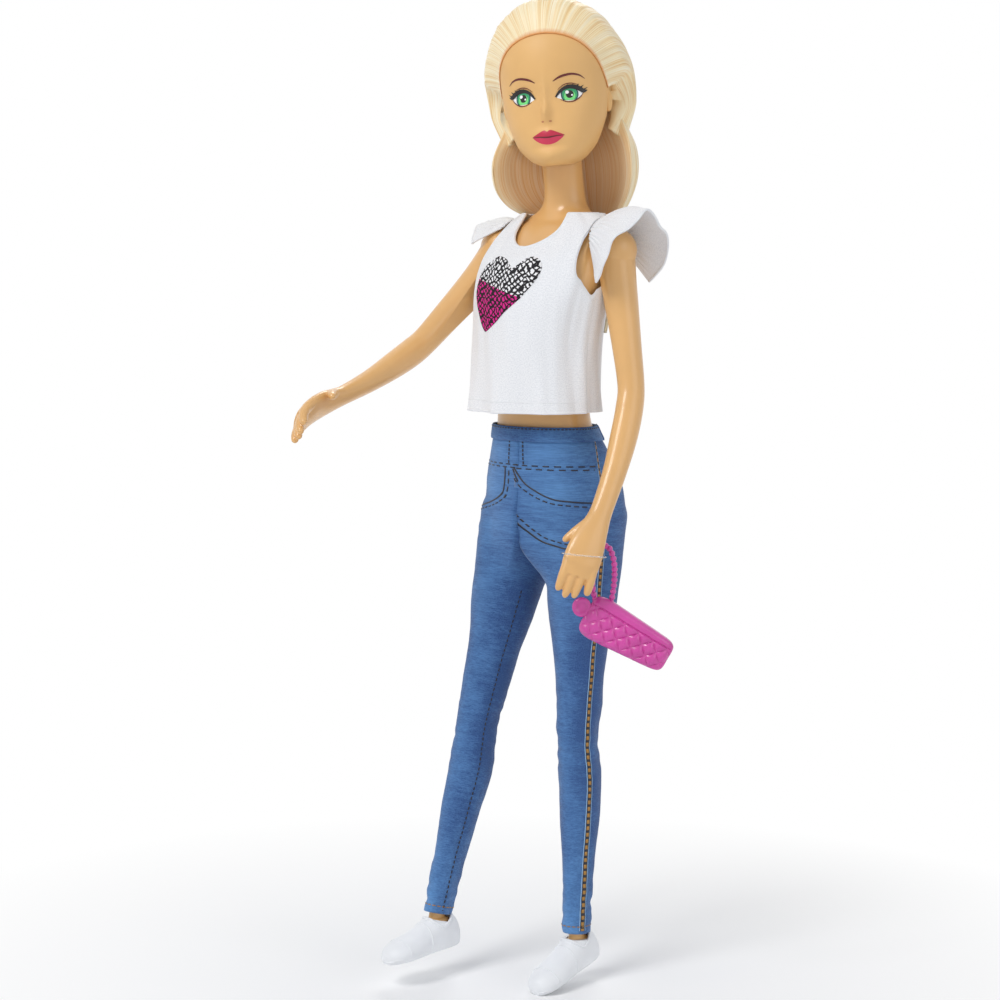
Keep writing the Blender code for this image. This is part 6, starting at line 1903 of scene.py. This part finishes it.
def make_heart(inks):
    """A scribbled heart, printed slantwise on the front of the shirt in two colours."""
    tree = skin_tree(bpy.data.objects["shirt_front_cloth"])
    outline = smooth_loop([(x / 1000, z / 1000) for x, z in HEART_POINTS], 6)
    line = tuple((x / 1000, z / 1000) for x, z in HEART_LINE)
    back = PLACE.inverted()
    for name, keep in (("heart_upper", 1), ("heart_lower", -1)):
        shape = filled(clipped(outline, line, keep), HEART_COUNT)
        centre = [sum(values) / len(shape) for values in zip(*shape)]
        bm = bmesh.new()
        layer = bm.loops.layers.uv.new("UVMap")
        rows, places = [], {}
        for i in range(HEART_RINGS + 1):
            row = []
            for spot in shape if i else shape[:1]:
                x, z = (c + (p - c) * i / HEART_RINGS for c, p in zip(centre, spot))
                found = tree.ray_cast(PLACE @ Vector((x, -0.08, z)), Vector((0, 1, 0)))
                if found[0] is None:
                    found = tree.find_nearest(PLACE @ Vector((x, -BUST_DEPTH, z)))
                normal = -found[1] if found[1].y > 0 else found[1]
                vert = bm.verts.new(back @ found[0] + normal * HEART_LIFT)
                places[vert] = (x, z)
                row.append(vert)
            rows.append(row)
        disc(bm, rows)
        for part in bm.faces:
            for loop in part.loops:
                loop[layer].uv = places[loop.vert]
        finish(thicken(sew(name, bm), INK_THICKNESS, 1), PLACE, inks[name], "torso", "shirt_cloth")


# What keeps its modelled shape

def dress_plain_pieces(inks):
    """Finishes for the pieces that keep their modelled shape, most of them hidden inside."""
    for finish_name, nodes in PLAIN_PIECES.items():
        for node in nodes:
            for place_in_list in frame["nodes"][node].material_slots:
                place_in_list.material = inks[finish_name]


# Settings

def colour_setting(name, description, red, green, blue):
    return bpy.props.FloatVectorProperty(name=name, description=description, subtype="COLOR", size=4, min=0, max=1,
                                         default=tone(red, green, blue))


def angle_setting(name, description, degrees, most):
    return bpy.props.FloatProperty(name=name, description=description, subtype="ANGLE", min=0,
                                   max=math.radians(most), default=math.radians(degrees))


class DollColours(bpy.types.PropertyGroup):
    skin: colour_setting("Body", "Colour of the glossy body and arms", 226, 176, 112)
    face: colour_setting("Face", "Colour of the matte head", 229, 181, 116)
    lips: colour_setting("Lips", "Colour of the lower lip", 214, 52, 88)
    iris: colour_setting("Iris", "Colour of the eyes", 52, 158, 104)
    shoe: colour_setting("Shoes", "Colour of the soft shoes", 238, 240, 243)
    bag: colour_setting("Handbag", "Colour of the handbag", 205, 62, 158)
    print_lower: colour_setting("Heart", "Lower colour of the printed heart", 214, 40, 138)


class DollSizes(bpy.types.PropertyGroup):
    finger_curl_left: angle_setting("Left finger bend", "How far the left fingers bend", LEFT_CURL_DEGREES, 90)
    finger_curl_right: angle_setting("Right finger bend", "How far the right fingers bend", RIGHT_CURL_DEGREES, 90)
    camera_distance: bpy.props.FloatProperty(
        name="Camera distance", description="From the doll's middle to the camera", subtype="DISTANCE",
        unit="LENGTH", default=0.698, min=0.2, max=5)
    camera_turn: angle_setting("Camera turn", "How far the camera stands towards the doll's left", 43, 180)
    camera_rise: angle_setting("Camera rise", "How far the camera looks down", 6, 80)


INKS = {}


def inks_for(scene):
    """Every finish of the doll, made once and then shared."""
    if INKS:
        return INKS
    colours = scene.doll_colours
    groups = {"grain": grain_group(), "weave": weave_group(), "streaks": streak_group()}
    INKS["skin"] = vinyl("Glossy body vinyl", tuple(colours.skin), groups, 0.30, 0.25, depth=0.000008, shade=0.03)
    INKS["face"] = vinyl("Matte head vinyl", tuple(colours.face), groups, 0.52, depth=0.000008, shade=0.03)
    INKS["shoe"] = vinyl("Soft shoe vinyl", tuple(colours.shoe), groups, 0.45, 0.0, 1400.0, 0.00003, 0.03)
    INKS["bag"] = vinyl("Glossy bag vinyl", tuple(colours.bag), groups, 0.24, 0.4, 1100.0, 0.00002, 0.08)
    INKS["hair"] = hair_material(groups)
    INKS["cotton"] = cotton_material(groups)
    INKS["denim"] = denim_material(groups)
    INKS["thread"] = clear_material(groups)
    INKS["tape"] = vinyl("Closure tape", tone(226, 228, 230), groups, 0.85, 0.0, 5200.0, 0.00012, 0.05)
    for name, colour in PRINT_COLOURS.items():
        INKS[name] = print_ink(name.replace("_", " ").capitalize(), tone(*colour), groups)
    INKS["iris"] = print_ink("Iris green", tuple(colours.iris), groups)
    INKS["lip"] = print_ink("Lip red", tuple(colours.lips), groups, 0.3)
    INKS["heart_upper"] = hatch_material("Heart black on white", tone(240, 240, 242), tone(28, 26, 30))
    INKS["heart_lower"] = hatch_material("Heart black on pink", tuple(colours.print_lower), tone(30, 22, 30))
    return INKS


def either(tree, share, first, second):
    """A shader that goes over from the first to the second."""
    node = tree.nodes.new("ShaderNodeMixShader")
    for port, value in zip(node.inputs, (share, first, second)):
        link(tree, value, port)
    return node.outputs[0]


def glow(tree, kind, colour, strength):
    """A source of plain light in a material or the world."""
    node = tree.nodes.new(kind)
    node.inputs["Color"].default_value = colour
    node.inputs["Strength"].default_value = strength
    return node.outputs[0]


# Operators

class DOLL_OT_body(bpy.types.Operator):
    """Moulds the glossy body from the hips to the neck"""
    bl_idname = "doll.body"
    bl_label = "Body"

    def execute(self, context):
        make_body(inks_for(context.scene))
        dress_plain_pieces(inks_for(context.scene))
        return {"FINISHED"}


class DOLL_OT_arms(bpy.types.Operator):
    """Moulds both arms with their hands"""
    bl_idname = "doll.arms"
    bl_label = "Arms"

    def execute(self, context):
        sizes = context.scene.doll_sizes
        for side, word in SIDES:
            curl = sizes.finger_curl_left if side > 0 else sizes.finger_curl_right
            make_arm(side, word, math.degrees(curl), inks_for(context.scene))
        return {"FINISHED"}


class DOLL_OT_legs(bpy.types.Operator):
    """Moulds both legs with their feet"""
    bl_idname = "doll.legs"
    bl_label = "Legs"

    def execute(self, context):
        for side, word in SIDES:
            make_leg(side, word, inks_for(context.scene))
        return {"FINISHED"}


class DOLL_OT_head(bpy.types.Operator):
    """Moulds the head, prints the face and roots the hair"""
    bl_idname = "doll.head"
    bl_label = "Head, face and hair"

    def execute(self, context):
        inks = inks_for(context.scene)
        tree = make_head(inks)
        for side, word in SIDES:
            make_eye(side, word, tree, inks)
        make_mouth(tree, inks)
        make_hair_cap(tree, inks)
        make_hair_fall(inks)
        return {"FINISHED"}


class DOLL_OT_shirt(bpy.types.Operator):
    """Sews the shirt with its sleeves and prints the heart"""
    bl_idname = "doll.shirt"
    bl_label = "Shirt"

    def execute(self, context):
        inks = inks_for(context.scene)
        make_shirt(inks)
        make_sleeve(1, "left", LEFT_SLEEVE_FRONT_DEGREES, 1, inks)
        make_sleeve(-1, "right", RIGHT_SLEEVE_FRONT_DEGREES, RIGHT_SLEEVE_SHARE, inks)
        make_heart(inks)
        return {"FINISHED"}


class DOLL_OT_jeans(bpy.types.Operator):
    """Sews the jeans, their waistband and their printed seams"""
    bl_idname = "doll.jeans"
    bl_label = "Jeans"

    def execute(self, context):
        inks = inks_for(context.scene)
        for side, word in SIDES:
            make_jeans_half(side, word, inks)
        make_jeans_prints(inks)
        make_waistband(inks)
        return {"FINISHED"}


class DOLL_OT_shoes(bpy.types.Operator):
    """Moulds both soft shoes"""
    bl_idname = "doll.shoes"
    bl_label = "Shoes"

    def execute(self, context):
        for side, word in SIDES:
            make_shoe(side, word, inks_for(context.scene))
        return {"FINISHED"}


class DOLL_OT_handbag(bpy.types.Operator):
    """Moulds the quilted handbag with its strap and clasp"""
    bl_idname = "doll.handbag"
    bl_label = "Handbag"

    def execute(self, context):
        make_handbag(inks_for(context.scene))
        return {"FINISHED"}


class DOLL_OT_stage(bpy.types.Operator):
    """Sets the floor, the lamps, the world and the camera"""
    bl_idname = "doll.stage"
    bl_label = "Stage"

    def execute(self, context):
        make_stage(context.scene)
        return {"FINISHED"}


class DOLL_PT_panel(bpy.types.Panel):
    bl_label = "Fashion doll"
    bl_idname = "DOLL_PT_panel"
    bl_space_type = "VIEW_3D"
    bl_region_type = "UI"
    bl_category = "Doll"

    def draw(self, context):
        layout = self.layout
        for settings in (context.scene.doll_colours, context.scene.doll_sizes):
            box = layout.box()
            for name in settings.__annotations__:
                box.prop(settings, name)
        for step in STEPS:
            layout.operator(step.bl_idname)


# Stage

def seen_directly(tree):
    """1 where the camera, a gloss or a clear piece looks, 0 for light."""
    path = tree.nodes.new("ShaderNodeLightPath")
    first = maths(tree, "MAXIMUM", path.outputs["Is Camera Ray"], path.outputs["Is Glossy Ray"])
    return maths(tree, "MAXIMUM", first, path.outputs["Is Transmission Ray"])


def whiten_far_floor(tree):
    """Lets the floor keep its shadow near the doll and turn to plain white further off."""
    length = tree.nodes.new("ShaderNodeVectorMath")
    length.operation = "LENGTH"
    link(tree, place(tree), length.inputs[0])
    far = spread(tree, length.outputs["Value"], FLOOR_NEAR, FLOOR_FAR)
    shade = either(tree, maths(tree, "MULTIPLY", far, seen_directly(tree)),
                   tree.nodes["Principled BSDF"].outputs[0], glow(tree, "ShaderNodeEmission", (1, 1, 1, 1), 1.0))
    link(tree, shade, tree.nodes["Material Output"].inputs["Surface"])


def make_stage(scene):
    """A pale floor, three soft lamps, a white background and the camera of the photograph."""
    bm = bmesh.new()
    bmesh.ops.create_grid(bm, x_segments=2, y_segments=2, size=6)
    floor = sew("floor", bm)
    made, tree, inputs = start_material("Pale floor", 0.9, 0.1)
    rough = noise_texture(tree, place(tree), 3.0, 2.0)
    link(tree, mix(tree, rough, tone(250, 250, 250), tone(253, 253, 253)), inputs["Base Color"])
    whiten_far_floor(tree)
    paint(floor, made)
    scene.world = bpy.data.worlds.new("Studio")
    scene.world.use_nodes = True
    tree = scene.world.node_tree
    tree.nodes.clear()
    out = tree.nodes.new("ShaderNodeOutputWorld")
    light = glow(tree, "ShaderNodeBackground", tone(246, 248, 252), WORLD_STRENGTH)
    white = glow(tree, "ShaderNodeBackground", (1, 1, 1, 1), 1.0)
    link(tree, either(tree, seen_directly(tree), light, white), out.inputs["Surface"])
    middle = PLACE @ Vector(CAMERA_TARGET)
    for name, turn, rise, far, size, power in LAMPS:
        lamp = bpy.data.lights.new(name, "AREA")
        lamp.shape = "DISK"
        lamp.size = size
        lamp.energy = power
        aim_from(new_object(name, lamp), middle, math.radians(turn), math.radians(rise), far)
    camera = new_object("camera", bpy.data.cameras.new("camera"))
    camera.data.lens = 85
    camera.data.sensor_width = 36
    camera.data.clip_start = 0.01
    sizes = scene.doll_sizes
    aim_from(camera, middle, sizes.camera_turn, sizes.camera_rise, sizes.camera_distance)
    scene.camera = camera
    scene.view_settings.view_transform = "Standard"


def aim_from(made, middle, turn, rise, far):
    """Stands something round the doll, turned from its front to its left, and points it at the middle."""
    heading = Vector((math.sin(turn) * math.cos(rise), -math.cos(turn) * math.cos(rise), math.sin(rise)))
    made.location = middle + heading * far
    made.rotation_euler = heading.to_track_quat("Z", "Y").to_euler()


STEPS = (DOLL_OT_body, DOLL_OT_arms, DOLL_OT_legs, DOLL_OT_head, DOLL_OT_shirt, DOLL_OT_jeans, DOLL_OT_shoes,
         DOLL_OT_handbag, DOLL_OT_stage)
CLASSES = (DollColours, DollSizes, *STEPS, DOLL_PT_panel)


def register():
    for made in CLASSES:
        bpy.utils.register_class(made)
    bpy.types.Scene.doll_colours = bpy.props.PointerProperty(type=DollColours)
    bpy.types.Scene.doll_sizes = bpy.props.PointerProperty(type=DollSizes)


def unregister():
    del bpy.types.Scene.doll_colours
    del bpy.types.Scene.doll_sizes
    for made in reversed(CLASSES):
        bpy.utils.unregister_class(made)


def main():
    register()
    for step in STEPS:
        family, name = step.bl_idname.split(".")
        getattr(getattr(bpy.ops, family), name)()


if __name__ == "__main__":
    main()
